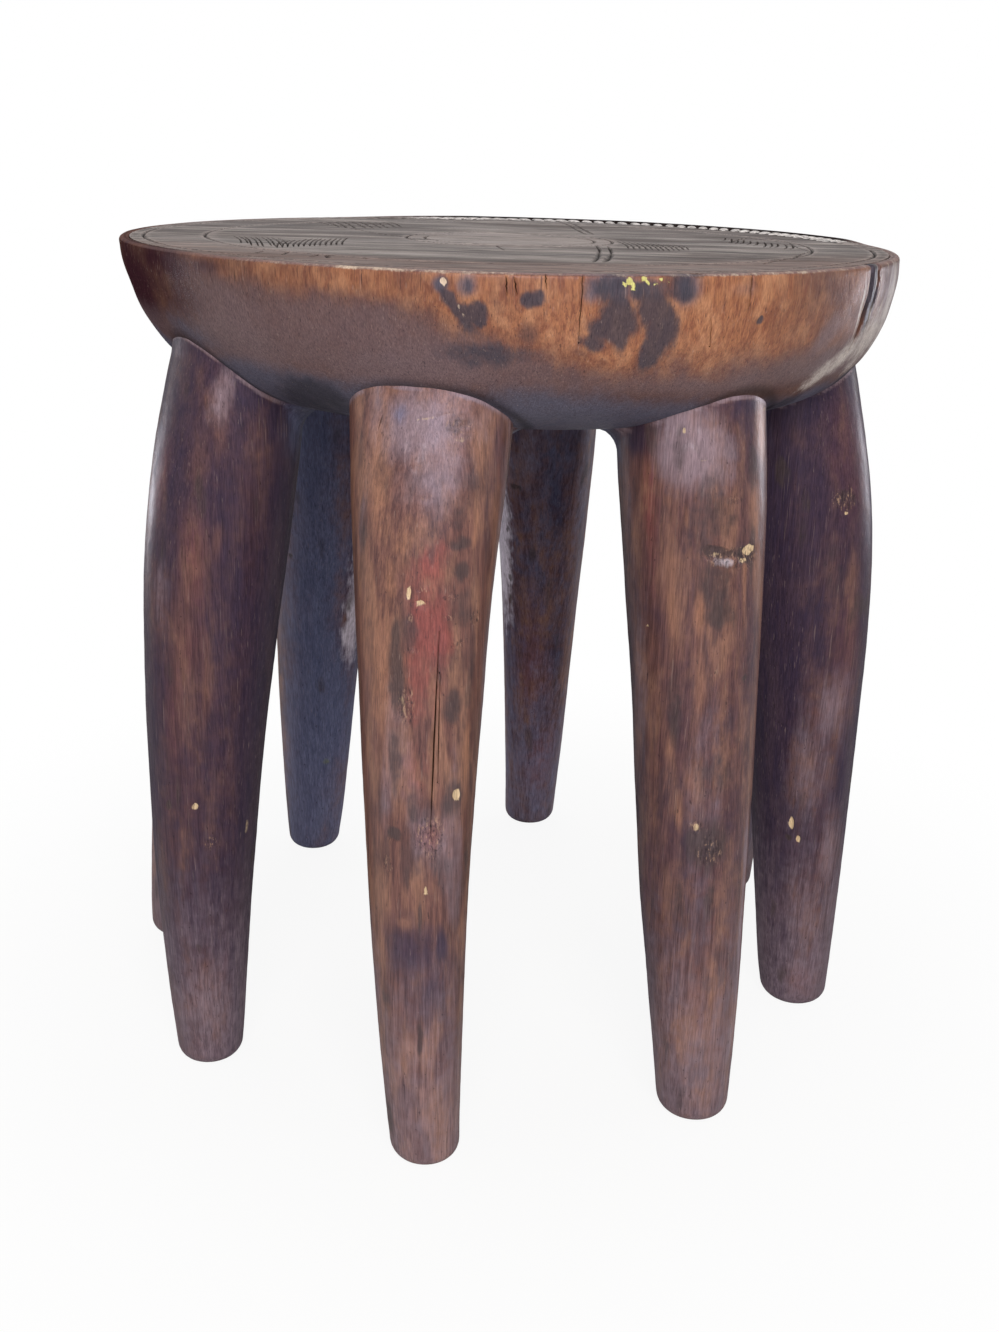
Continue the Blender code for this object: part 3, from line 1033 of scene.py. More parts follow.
@dataclass
class Bowl:
    """The body of the seat: a shallow bowl with a recess for its carved top."""

    lip: float = 6.0 * MM
    groove_depth: float = 1.3 * MM
    groove_width: float = 1.3 * MM
    rim_round: float = 2.2 * MM
    rim_steps: int = 4
    recess: float = 4.0 * MM
    ridge: float = 1.5 * MM
    steps: int = 720
    side_start: float = 4.0 * MM
    side_end: float = 82 * MM
    side_step: float = 1.9 * MM
    fine_from: float = 66 * MM
    fine_step: float = 1.3 * MM
    bottom_rings: int = 18
    hewn: float = 0.35 * MM

    def outline(self) -> list[tuple[float, float]]:
        """Draw the bowl's section from the recess over the rim and down to the axis.

        Returns:
            Points as (radius, height).
        """
        seam = self.seam
        floor = SEAT_HEIGHT - self.recess
        points = [(0.0, floor), (seam - 2 * MM, floor), (seam, floor)]
        points += [(seam, SEAT_HEIGHT - self.groove_depth), (seam + self.groove_width, SEAT_HEIGHT)]
        points += [(seam + 2.5 * MM, SEAT_HEIGHT)]
        for step in range(self.rim_steps + 1):
            turn = math.pi / 2 * step / self.rim_steps
            points.append((
                SEAT_RADIUS - self.rim_round * (1 - math.sin(turn)),
                SEAT_HEIGHT - self.rim_round * (1 - math.cos(turn)),
            ))
        depth = self.side_start
        while depth < self.side_end:
            share = curve_at(BOWL_DEPTH_SHARES, BOWL_RADIUS_SHARES, depth / SEAT_THICKNESS)
            points.append((SEAT_RADIUS * share, SEAT_HEIGHT - depth))
            depth += self.side_step if depth < self.fine_from else self.fine_step
        start = points[-1][0] / SEAT_RADIUS
        for step in range(1, self.bottom_rings + 1):
            share = start * (1 - step / self.bottom_rings)
            depth_share = curve_at(BOWL_RADIUS_SHARES[::-1], BOWL_DEPTH_SHARES[::-1], share)
            points.append((SEAT_RADIUS * share, SEAT_HEIGHT - SEAT_THICKNESS * depth_share))
        return points

    @property
    def seam(self) -> float:
        """Give the radius of the groove between the bowl's rim and the carved top."""
        return SEAT_RADIUS - self.lip

    @staticmethod
    def patina(turn: float, depth: float, place: Vector) -> tuple[float, float]:
        """Say how dark the bowl's side is: orange under the rim, dark lower down and at the left.

        Args:
            turn: Degrees round the seat.
            depth: Metres below the rim.
            place: The point itself.

        Returns:
            Shares of the dark layer and of the painted mauve sheen on it.
        """
        edge = curve_at(DARK_TURNS, DARK_FROM_MM, turn) * MM
        blur = wander(place, 40 * MM, 3.0) * 7 * MM + wander(place, 14 * MM, 5.0) * 4 * MM
        dark = ease(edge - 24 * MM, edge + 10 * MM, depth + blur)
        dusk = curve_at(DUSK_TURNS, DUSK_SHARES, turn)
        dark = max(dark, dusk + 0.25 * wander(place, 30 * MM, 8.0))
        low = ease(52 * MM, 68 * MM, depth)
        sheen = ease(edge - 16 * MM, edge + 8 * MM, depth + blur) * (1 - low)
        sheen *= 0.6 + 0.4 * ease(-0.3, 0.5, wander(place, 55 * MM, 13.0))
        left = ease(-122, -150, turn) if turn < 0 else 0.0
        return dark, sheen * (1 - 0.9 * left * (1 - ease(24 * MM, 40 * MM, depth)))

    @staticmethod
    def gleam(turn: float, depth: float, out: float, place: Vector) -> float:
        """Say how pale the rim's edge is: rubbed pale, with a painted glint.

        Args:
            turn: Degrees round the seat.
            depth: Metres below the top.
            out: Metres from the axis.
            place: The point itself.

        Returns:
            A share from 0 to 1.
        """
        if out < SEAT_RADIUS - 2.6 * MM or depth > 3 * MM:
            return 0.0
        rubbed = curve_at(RIM_WEAR_AND_GLINT_TURNS, RIM_WEAR_AND_GLINT_SHARES, turn)
        edge = 1 - ease(0.3 * MM, 1.8 * MM, abs(depth - 0.5 * MM))
        return rubbed * edge * (0.8 + 0.4 * wander(place, 9 * MM, 2.0))

    def grime(self, turn: float, depth: float, out: float, marked: float) -> float:
        """Say how much dirt lies in the groove round the top and behind the rope border.

        Args:
            turn: Degrees round the seat.
            depth: Metres below the top.
            out: Metres from the axis.
            marked: The dirt that the bowl's marks give.

        Returns:
            A share from 0 to 1.
        """
        crisp = CarvedTop.roped(turn)
        if depth > 0.1 * MM and out < self.seam + 1 * MM:
            marked = (0.35 + 0.5 * crisp) * (1 - ease(8 * MM, 10 * MM, depth))
        line = 0.5 * (1 - crisp) * (1 - ease(0.4 * MM, 1.0 * MM, abs(out - SEAT_RADIUS + 3.5 * MM)))
        line *= 1 - ease(0.5 * MM, 1.5 * MM, depth)
        behind = 0.95 * ease(0.4, 0.8, crisp) * ease(self.seam, self.seam + 1 * MM, out)
        behind *= 1 - ease(1 * MM, 4 * MM, depth)
        return max(marked, behind, line)

    def wear(self, place: Vector) -> tuple[dict[Layer, float], float]:
        """Work out the colour and the marks of a point of the bowl.

        Args:
            place: The point.

        Returns:
            The share of each layer, and how deep the point sinks in metres.
        """
        turn, depth, out = bearing_of(place), SEAT_HEIGHT - place.z, math.hypot(place.x, place.y)
        shares, sunk = read_marks(BOWL_MARKS, turn, SEAT_RADIUS, depth, place)
        dark, sheen = self.patina(turn, depth, place)
        # The flat rim top gets the mauve painted sheen
        if depth < 3 * MM and out < SEAT_RADIUS - 0.6 * MM:
            dark, sheen = 0.35, 0.75
        deepen(shares, Layer.SHADE, dark)
        # Painted mauve sheen on the lower side; the pale rim edge is partly wear and partly a painted
        # glint
        deepen(shares, Layer.SHEEN, sheen)
        deepen(shares, Layer.PALE, self.gleam(turn, depth, out, place))
        # Blue-grey painted shade under the bowl
        blue = curve_at(COOL_TURNS, COOL_FROM_MM, turn) * MM
        blur = 5 * MM * wander(place, 30 * MM, 16.0)
        deepen(shares, Layer.COOL, 0.85 * ease(blue, blue + 16 * MM, depth + blur))
        shares[Layer.DIRT_AND_SHADE] = self.grime(turn, depth, out, shares[Layer.DIRT_AND_SHADE])
        # Painted shade, with some dirt, in the crease round each leg's top
        if depth > 40 * MM:
            gap = min(leg.seam_gap(place) for leg in LEGS)
            deepen(shares, Layer.DIRT_AND_SHADE, 0.6 * (1 - ease(0, 5 * MM, gap)))
        left = 1 - ease(-142, -112, turn) if turn < 0 else ease(150, 175, turn)
        shares[Layer.MATT] = max(left, 0.7 * ease(40 * MM, 60 * MM, depth))
        return shares, sunk

    def shift(self, place: Vector, normal: Vector, sunk: float) -> Vector:
        """Work out how far the carver's tool moved a point of the turned bowl.

        Args:
            place: The point.
            normal: The surface's normal there.
            sunk: How deep the marks sink it, in metres.

        Returns:
            The move in metres.
        """
        turn, depth, out = bearing_of(place), SEAT_HEIGHT - place.z, math.hypot(place.x, place.y)
        seam = self.seam
        outside = max(ease(seam - 1 * MM, seam + 2 * MM, out), ease(5 * MM, 8 * MM, depth))
        hewn = 0.5 * wander(place, 60 * MM, 1.0) + 0.3 * wander(place, 22 * MM, 4.0)
        hewn += 0.12 * wander(Vector((place.x, place.y, place.z * 0.4)), 5 * MM, 6.0)
        low = ease(8 * MM, 30 * MM, depth)
        ridge = ease(0.4, 0.8, CarvedTop.roped(turn)) * ease(seam + 1.5 * MM, seam + 3 * MM, out)
        ridge *= 1 - ease(1 * MM, 3 * MM, depth)
        move = normal * (outside * (self.hewn * hewn * (0.5 + 2.2 * low) - sunk))
        return move + Vector((0, 0, self.ridge * ridge))

    def build(self) -> bpy.types.Object:
        """Turn the bowl, hew it by hand and mark it.

        Returns:
            The finished bowl.
        """
        shape = bmesh.new()
        lathe(shape, self.outline(), self.steps)
        small = [mark for mark in BOWL_MARKS if min(mark.width, mark.length) < SMALL_MARK]

        def near_detail(place: Vector) -> bool:
            """Say whether a point of the side lies close to a small mark.

            Args:
                place: The point.

            Returns:
                Whether it does.
            """
            turn, depth = bearing_of(place), SEAT_HEIGHT - place.z
            on_side = math.hypot(place.x, place.y) > 0.95 * SEAT_RADIUS
            return on_side and any(mark.near(turn, SEAT_RADIUS, depth, 0.5 * MM) for mark in small)

        refine(shape, near_detail, 2)
        shape.normal_update()
        rows: list[dict[Layer, float]] = []
        moves: list[Vector] = []
        for vert in shape.verts:
            shares, sunk = self.wear(vert.co)
            rows.append(shares)
            moves.append(self.shift(vert.co, vert.normal, sunk))
        for vert, move in zip(shape.verts, moves):
            vert.co += move
            vert.co.x += BOWL_LEAN * max(0.0, SEAT_HEIGHT - vert.co.z) / SEAT_THICKNESS
        tint_all(shape, rows)
        piece = make_object("seat_bowl", shape, 50)
        open_cracks(piece, BOWL_CRACKS, bowl_side)
        piece.data.materials.append(SEAT_FINISH.build())
        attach(piece, "root")
        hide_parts("seat")
        return piece


@dataclass
class CarvedTop:
    """The incised top: rings, a roped border, and bands of hatching."""

    radius: float = SEAT_RADIUS - 6.0 * MM
    thickness: float = 3.8 * MM
    ring_radii: tuple[float, ...] = (0.050, 0.061, 0.177, 0.2115)
    line_width: float = 2.6 * MM
    line_depth: float = 1.3 * MM
    ring_step: float = 7 * MM
    outer_from: float = 0.1635
    outer_step: float = 3.5 * MM
    rope_radii: tuple[float, float] = (0.2035, 0.2235)
    rope_pitch: float = 9.0 * MM
    rope_rise: float = 1.2 * MM
    rope_root: float = 0.3 * MM
    rope_width: float = 3.3 * MM
    rope_slant: float = 30.0
    least_crisp: float = 0.15
    warp: float = 1.4 * MM
    steps: int = 360

    def outline(self) -> list[tuple[float, float]]:
        """Draw the top's section, from the middle out and back underneath.

        Returns:
            Points as (radius, height).
        """
        half = self.line_width / 2
        points = [(0.0, SEAT_HEIGHT)]
        reached = 0.0
        for ring in (*self.ring_radii, self.radius + half):
            gap = ring - half - reached
            step = self.outer_step if reached > self.outer_from else self.ring_step
            count = max(1, round(gap / step))
            points += [(reached + gap * n / count, SEAT_HEIGHT) for n in range(1, count + 1)]
            if ring < self.radius:
                points += [(ring, SEAT_HEIGHT - self.line_depth), (ring + half, SEAT_HEIGHT)]
            reached = ring + half
        points.append((self.radius, SEAT_HEIGHT - self.line_depth))
        points += [(self.radius, SEAT_HEIGHT - self.thickness), (0.0, SEAT_HEIGHT - self.thickness)]
        return points

    @staticmethod
    def roped(turn: float) -> float:
        """Say how crisp the border's rope is at a bearing: wear has smoothed all but the back."""
        return curve_at(ROPE_TURNS, ROPE_SHARES, turn)

    @staticmethod
    def stroke(
        cutter: bmesh.types.BMesh, points: Sequence[Vector], width: float, depth: float
    ) -> None:
        """Add one chisel stroke: a V that tapers out at both ends.

        Args:
            cutter: The bmesh that gathers the strokes.
            points: The stroke's line on the top, in metres.
            width: Its greatest width.
            depth: Its greatest depth.
        """
        raised = 0.5 * MM
        frames = []
        for n, point in enumerate(points):
            ahead = points[min(n + 1, len(points) - 1)] - points[max(n - 1, 0)]
            share = n / (len(points) - 1)
            taper = max(0.3, min(1.0, 4.5 * share + 0.3, 4.5 * (1 - share) + 0.3))
            forward = ahead.normalized()
            side = Vector((forward.y, -forward.x, 0))
            low = depth * taper
            # A unit triangle has its tip at +Y and its other corners half a unit below
            basis = Matrix((side, Vector((0, 0, -1)), forward)).transposed().to_4x4()
            height = (raised + low) / 1.5
            centre = Vector((point.x, point.y, SEAT_HEIGHT + raised - height * 0.5))
            wide = width * taper * (raised + low) / low / math.sqrt(3)
            size = Matrix.Diagonal((wide, height, 1, 1))
            frames.append(Matrix.Translation(centre) @ basis @ size)
        sweep(cutter, frames, 3)

    @staticmethod
    def line(
        start: tuple[float, float], end: tuple[float, float], bow: float, count: int
    ) -> list[Vector]:
        """Lay points along a slightly bowed line.

        Args:
            start: First end as shares of the seat's radius.
            end: Last end, likewise.
            bow: How far the middle lies to the side, as a share of the radius.
            count: How many points.

        Returns:
            The points in metres.
        """
        first, last = Vector((*start, 0)), Vector((*end, 0))
        along = last - first
        side = Vector((-along.y, along.x, 0)).normalized()
        return [
            (first + along * share + side * bow * math.sin(math.pi * share)) * SEAT_RADIUS
            for share in (n / (count - 1) for n in range(count))
        ]

    def border(self, shape: bmesh.types.BMesh, rng: random.Random) -> None:
        """Raise the slanting strands that make the border look like a rope.

        Args:
            shape: The top's bmesh, with its attributes.
            rng: Source of the carver's unevenness.
        """
        pale = shape.verts.layers.float[Layer.PALE.value]
        sheen = shape.verts.layers.float[Layer.SHEEN.value]
        inner, outer = self.rope_radii
        middle = (inner + outer) / 2
        count = round(math.tau * middle / self.rope_pitch)
        slant = math.radians(self.rope_slant)
        for n in range(count):
            turn = math.tau * (n + rng.uniform(-0.08, 0.08)) / count
            crisp = self.roped(math.degrees(math.remainder(turn, math.tau)))
            if crisp < self.least_crisp:
                continue
            lean = turn + slant + math.radians(rng.uniform(-4, 4))
            half = (outer - inner) / 2 / math.cos(slant) * rng.uniform(0.86, 0.96)
            place = Matrix.Translation((
                middle * math.cos(turn), middle * math.sin(turn), SEAT_HEIGHT - self.rope_root,
            )) @ Matrix.Rotation(lean, 4, "Z")
            rise = self.rope_rise * crisp + self.rope_root
            size = Matrix.Diagonal((half, self.rope_width, rise, 1))
            strand = bmesh.ops.create_uvsphere(
                shape, u_segments=14, v_segments=8, radius=1, matrix=place @ size,
            )["verts"]
            # Crisp strands are painted pale and sheened, as a highlight
            for vert in strand:
                vert[pale] = ease(0.5, 0.8, crisp)
                vert[sheen] = 0.5

    def hatching(self, rng: random.Random) -> bmesh.types.BMesh:
        """Cut the lines and hatched bands inside the border.

        Args:
            rng: Source of the carver's unevenness.

        Returns:
            The cutter, whose strokes cross each other.
        """
        cutter = bmesh.new()
        # Each band: its first and last stroke's start and their reach, as shares of the seat's
        # radius, how many strokes, their width in millimetres and how far they shorten
        for start, end, reach, count, width, fade in (
            ((-0.535, -0.505), (-0.400, -0.360), (-0.018, 0.262), 13, 1.5, 0.0),
            ((-0.700, -0.154), (-0.585, -0.188), (0.074, -0.290), 9, 1.2, 0.0),
            ((-0.545, 0.560), (-0.370, 0.635), (0.070, -0.300), 9, 2.1, 0.0),
            ((0.288, 0.035), (0.440, -0.050), (0.010, -0.330), 12, 1.5, 0.35),
            ((0.610, 0.290), (0.756, 0.060), (-0.040, -0.190), 11, 1.6, 0.0),
        ):
            for n in range(count):
                share = n / (count - 1)
                x = start[0] + (end[0] - start[0]) * share + rng.uniform(-0.0012, 0.0012)
                y = start[1] + (end[1] - start[1]) * share
                swell = (0.85 + 0.15 * math.sin(math.pi * share)) * (1 - fade * share)
                tip = (x + reach[0] * swell, y + reach[1] * swell * rng.uniform(0.9, 1.1))
                points = self.line((x, y), tip, 0.006, 7)
                self.stroke(cutter, points, width * MM, rng.uniform(1.1, 1.5) * MM)
        # Each long line: its ends, how far it bows and its width in millimetres
        for start, end, bow, width in (
            ((0.155, 0.885), (0.194, 0.560), 0.008, 2.4),
            ((0.194, 0.570), (0.218, 0.275), 0.000, 2.4),
            ((0.178, 0.885), (0.217, 0.560), 0.008, 2.4),
            ((0.217, 0.570), (0.238, 0.290), 0.000, 2.4),
            ((0.217, -0.160), (0.219, -0.385), 0.004, 2.6),
            ((0.219, -0.360), (0.185, -0.690), 0.004, 4.0),
            ((0.246, -0.180), (0.244, -0.435), 0.004, 2.6),
            ((0.244, -0.410), (0.210, -0.680), 0.004, 4.4),
            ((0.594, 0.083), (0.686, 0.330), 0.010, 2.8),
            ((0.680, 0.318), (0.768, 0.140), -0.008, 1.8),
            ((0.767, 0.150), (0.765, -0.190), -0.010, 1.6),
            ((0.765, -0.170), (0.672, -0.436), -0.008, 2.0),
            ((0.676, -0.425), (0.570, -0.615), -0.006, 2.2),
            ((-0.570, 0.550), (-0.448, 0.290), -0.006, 2.0),
            ((-0.454, 0.304), (-0.300, 0.004), -0.008, 2.4),
            ((-0.306, 0.014), (-0.200, -0.116), -0.004, 1.8),
            ((-0.030, -0.260), (-0.008, -0.390), 0.000, 1.8),
            ((-0.559, -0.680), (-0.554, -0.608), 0.000, 2.4),
            ((-0.494, -0.712), (-0.494, -0.618), 0.000, 2.4),
            ((-0.426, -0.745), (-0.420, -0.680), 0.000, 3.2),
            ((-0.402, -0.672), (-0.384, -0.760), 0.000, 3.4),
            ((-0.312, -0.760), (-0.302, -0.725), 0.000, 3.0),
        ):
            self.stroke(cutter, self.line(start, end, bow, 9), width * MM, self.line_depth)
        return cutter

    def wear(self, vert: bmesh.types.BMVert, underside: bool) -> dict[Layer, float]:
        """Work out the colour of a point of the top.

        Args:
            vert: The point, whose neighbours say whether it lies on the lip of a cut.
            underside: Whether it is hidden in the bowl's recess.

        Returns:
            The share of each layer.
        """
        place, inner = vert.co, self.rope_radii[0]
        out, sunk = math.hypot(place.x, place.y), SEAT_HEIGHT - place.z
        cut = min(1.0, sunk / (0.8 * MM)) * 0.95
        roped = 0.95 * ease(0.3, 0.6, self.roped(bearing_of(place)))
        between = roped * ease(inner - 1 * MM, inner + 2 * MM, out)
        # The lips of the cuts get a painted highlight; the middle disc is lighter
        lip = sunk < 0.05 * MM and any(
            SEAT_HEIGHT - edge.other_vert(vert).co.z > 0.5 * MM for edge in vert.link_edges
        )
        front = ease(-20 * MM, -150 * MM, place.y) * ease(150 * MM, 190 * MM, out)
        return {
            Layer.DIRT_AND_SHADE: 0.0 if underside else max(cut, between),
            Layer.SHEEN: max(0.8 if lip else 0.0, 1 - ease(49 * MM, 52 * MM, out)),
            Layer.WARM: 0.9 * front,
            Layer.PALE: 0.0,
        }

    def build(self) -> bpy.types.Object:
        """Turn the disc, cut the carving into it and let it warp a little.

        Returns:
            The finished top.
        """
        rng = random.Random(11)
        shape = bmesh.new()
        lathe(shape, self.outline(), self.steps)
        piece = make_object("seat_top", shape)
        carve(piece, self.hatching(rng), crossing=True)
        shape = bmesh.new()
        shape.from_mesh(piece.data)
        rows: list[dict[Layer, float]] = []
        for vert in shape.verts:
            place = vert.co
            underside = SEAT_HEIGHT - place.z > self.thickness - 0.3 * MM
            rows.append(self.wear(vert, underside))
            if not underside:
                out = math.hypot(place.x, place.y)
                fade = 1 - ease(self.radius - 9 * MM, self.radius - 2 * MM, out)
                swell = 0.35 * wander(place, 70 * MM, 9.0) + 0.12 * wander(place, 18 * MM, 7.0)
                place.z += fade * swell * MM
                place.x += fade * self.warp * wander(place, 60 * MM, 14.0)
                place.y += fade * self.warp * wander(place, 60 * MM, 15.0)
        tint_all(shape, rows)
        self.border(shape, rng)
        shape.to_mesh(piece.data)
        shape.free()
        piece.data.shade_smooth()
        piece.data.set_sharp_from_angle(angle=math.radians(24))
        piece.data.materials.clear()
        piece.data.materials.append(TOP_FINISH.build())
        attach(piece, "root")
        return piece


# The legs


# The heights at which a leg's outline is given, and how far its hewing is drawn out upwards
LEG_KNOTS = (0.0, 0.03, 0.08, 0.14, 0.20, 0.26, 0.32, 0.37, TOP_HEIGHT)
GRAIN_PULL = 0.22


@dataclass
class Leg:
    """One leg: a tapering, outward-bowed post whose top runs into the bowl.

    Bearings are in degrees round the seat, distances in metres from its middle. radii_mm and
    drift_mm are the leg's radius and its sideways drift at the heights in LEG_KNOTS, bulge_mm
    its shift outwards, and crest_out is where its outer face meets the bowl. dusk says how
    dark its wood is overall, which is partly painted shade on legs turned from the light,
    and cool how much blue-grey painted shade its hidden side gets.
    """

    node: str
    bearing: float
    foot_out: float
    top_out: float
    bend: float
    radii_mm: tuple[float, ...]
    drift_mm: tuple[float, ...] = (0.0,) * 9
    bulge_mm: tuple[float, ...] = (0.0,) * 9
    sweep: float = 0.0
    seed: float = 0.0
    dusk: float = 0.3
    cool: float = 0.0
    sides: int = 96
    rings: int = 200
    marks: tuple[Mark, ...] = ()
    cracks: tuple[Crack, ...] = ()
    crest_out: float = 0.210
    foot_round: float = 8.0 * MM
    foot_steps: int = 7
    joint_steps: int = 30
    fillet: float = 13.0 * MM
    hewn: float = 0.8 * MM

    def centre(self, height: float) -> Vector:
        """Give the centre line's point at a height.

        Args:
            height: Metres above the floor.

        Returns:
            The point.
        """
        climb = height / TOP_HEIGHT
        out = self.foot_out + (self.top_out - self.foot_out) * climb ** self.bend
        out += curve_at(LEG_KNOTS, self.bulge_mm, height) * MM
        side = curve_at(LEG_KNOTS, self.drift_mm, height) * MM
        turn = math.radians(self.bearing + self.sweep * climb)
        x = out * math.cos(turn) - side * math.sin(turn)
        return Vector((x, out * math.sin(turn) + side * math.cos(turn), height))

    def radius(self, height: float) -> float:
        """Give the leg's radius at a height, with its rounded foot.

        Args:
            height: Metres above the floor.

        Returns:
            The radius in metres.
        """
        size = curve_at(LEG_KNOTS, self.radii_mm, height) * MM
        below = max(0.0, 1 - height / self.foot_round)
        return size - 0.8 * self.foot_round * quarter_round(below)

    def inset(self, turn: float, height: float) -> float:
        """Say how far the outer face is flattened, so that it meets the bowl without a step.

        Args:
            turn: Degrees from the leg's own bearing.
            height: Metres above the floor.

        Returns:
            Metres towards the middle of the seat.
        """
        proud = max(0.0, self.top_out + self.radii_mm[-1] * MM - self.crest_out)
        near = max(0.0, 1 - max(0.0, TOP_HEIGHT - height) / (150 * MM))
        return proud * near ** 2 * max(0.0, math.cos(math.radians(turn))) ** 1.5

    def surface(self, turn: float, height: float) -> Vector:
        """Give the surface point at an angle from the leg's bearing and a height."""
        spoke = ray(self.bearing + turn) * self.radius(height)
        return self.centre(height) + spoke - ray(self.bearing) * self.inset(turn, height)

    def seam_gap(self, place: Vector) -> float:
        """Give the distance from a point of the bowl to the line where the leg meets it.

        Args:
            place: The point.

        Returns:
            The distance in metres, seen from below.
        """
        spoke = place - self.centre(TOP_HEIGHT)
        turn = turn_between(self.bearing, bearing_of(spoke))
        spoke += ray(self.bearing) * self.inset(turn, TOP_HEIGHT)
        return abs(spoke.to_2d().length - self.radius(TOP_HEIGHT))

    def heights(self) -> list[float]:
        """Space the rings: close at the foot and near the bowl, even between.

        Returns:
            Heights in metres, rising.
        """
        start, top, joint = self.foot_round, TOP_HEIGHT + 12 * MM, TOP_HEIGHT - 24 * MM
        steps = self.foot_steps
        foot = [start * (1 - math.cos(math.pi / 2 * n / steps)) for n in range(steps)]
        even = self.rings - steps - self.joint_steps
        middle = [start + (joint - start) * n / even for n in range(even)]
        near = [joint + (top - joint) * n / self.joint_steps for n in range(self.joint_steps + 1)]
        return foot + middle + near

    def polar(self, place: Vector) -> tuple[float, Vector]:
        """Find a point's place round the leg.

        Args:
            place: The point.

        Returns:
            Its angle from the leg's bearing in degrees, and the level way to it from the middle.
        """
        spoke = place - self.centre(place.z)
        spoke.z = 0
        return turn_between(self.bearing, bearing_of(spoke)), spoke

    def wear(
        self, shares: dict[Layer, float], place: Vector, turn: float, inner: float, gap: float
    ) -> None:
        """Add painted shade and painted sheen to the wood at a point, with what hands and dust have
        done.

        Args:
            shares: The share of each layer, from the leg's marks, which this changes.
            place: The point.
            turn: Its angle from the leg's bearing, in degrees.
            inner: How far it is on the leg's inner side, from 0 to 1.
            gap: How far it lies below the bowl, in metres.
        """
        facing = math.cos(math.radians(turn))
        long = Vector((place.x, place.y, place.z * GRAIN_PULL))
        broad = wander(long, 26 * MM, self.seed + 9) + 0.5 * wander(place, 60 * MM, self.seed + 11)
        # Painted shade on the inner side and close under the bowl, over the leg's overall darkness
        inside = ease(0.1, -0.7, facing)
        under = (1 - ease(0, 26 * MM, gap)) * (0.35 + 0.65 * inner)
        shade = self.dusk + 0.26 * broad + 0.35 * inside + 0.6 * under
        lit = max(0.7 * shares[Layer.SHEEN], 0.65 * shares[Layer.WARM], 0.55 * shares[Layer.RED])
        shares[Layer.SHADE] = min(1.0, max(0.0, shade, shares[Layer.SHADE]) * (1 - lit))
        fleck = wander(long, 9 * MM, self.seed + 17) + 0.6 * wander(place, 25 * MM, self.seed + 19)
        deepen(shares, Layer.STAIN_AND_SHADE, 0.6 * ease(0.45, 0.8, fleck))
        bloom = 0.5 * ease(0.15, 0.55, wander(long, 18 * MM, self.seed + 23))
        bloom *= 1 - max(0.0, self.dusk)
        # Painted sheen towards the feet, standing for the pale floor's reflection, with some dust
        feet_sheen_and_dust = 0.52 * (1 - ease(20 * MM, 210 * MM, place.z))
        deepen(shares, Layer.SHEEN, bloom, feet_sheen_and_dust)
        # Blue-grey painted shade close under the bowl on the inner side, and over the inner half of
        # legs with cool
        shadowed = 0.75 * inner * (1 - ease(0, 45 * MM, gap))
        hidden_side_cool_shade = self.cool * (0.9 + 0.5 * broad) * (0.15 + 0.85 * ease(0.6, -0.1, facing))
        deepen(shares, Layer.COOL, shadowed, hidden_side_cool_shade)
        # Painted shade in the crease where the inner side meets the bowl
        deepen(shares, Layer.DIRT_AND_SHADE, 0.4 * inner * (1 - ease(0, 14 * MM, gap)))
        shares[Layer.MATT] = max(0.8 * inner, 0.75 * max(0.0, self.dusk))

    def build(self, finish: bpy.types.Material) -> bpy.types.Object:
        """Skin the leg, join it to the bowl's form and mark it.

        Args:
            finish: The legs' wood.

        Returns:
            The finished leg.
        """
        shape = bmesh.new()
        frames = []
        for height in self.heights():
            size = Matrix.Diagonal((self.radius(height), self.radius(height), 1, 1))
            frames.append(Matrix.Translation(self.centre(height)) @ size)
        sweep(shape, frames, self.sides)
        small = [
            mark for mark in self.marks if mark.layer is Layer.TORN
            or (min(mark.width, mark.length) < SMALL_MARK and mark.layer not in SOFT_LAYERS)
        ]

        def near_detail(place: Vector) -> bool:
            """Say whether a point lies close to a small mark."""
            turn, spoke = self.polar(place)
            return any(mark.near(turn, spoke.length, place.z, 1 * MM) for mark in small)

        refine(shape, near_detail, 2)
        rows: list[dict[Layer, float]] = []
        for vert in shape.verts:
            place = vert.co.copy()
            turn, spoke = self.polar(place)
            shares, sunk = read_marks(self.marks, turn, spoke.length, place.z, place)
            facing = math.cos(math.radians(turn))
            inner = 1 - ease(-0.65, -0.1, facing)
            gap = bowl_height(place) - place.z
            reach = max(self.fillet * inner, 0.1 * MM)
            flare = self.fillet * inner * quarter_round(min(1.0, max(0.0, 1 - gap / reach)))
            long = Vector((place.x, place.y, place.z * GRAIN_PULL))
            hewn = 0.8 * wander(long, 34 * MM, self.seed) + 0.35 * wander(long, 12 * MM, self.seed + 3)
            hewn += 0.14 * wander(place, 7 * MM, self.seed + 5)
            move = flare - sunk + self.hewn * hewn * ease(0, 12 * MM, place.z)
            vert.co += spoke.normalized() * move - ray(self.bearing) * self.inset(turn, place.z)
            # A pale line along the crest where the outer face meets the bowl: a painted highlight with
            # some edge wear
            if facing > -0.3:
                crest = bowl_height(vert.co) - vert.co.z
                rubbed = 1 - ease(0.3 * MM, 2.6 * MM, abs(crest - 0.8 * MM))
                rubbed *= ease(-0.5, 0.3, wander(place, 14 * MM, 21.0))
                deepen(shares, Layer.SHEEN, 0.9 * rubbed)
            self.wear(shares, place, turn, inner, gap)
            rows.append(shares)
        tint_all(shape, rows)
        bmesh.ops.recalc_face_normals(shape, faces=shape.faces)
        piece = make_object(self.node + "_wood", shape, 60)
        open_cracks(piece, self.cracks, self.surface)
        piece.data.materials.append(finish)
        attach(piece, "root")
        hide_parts(self.node)
        return piece


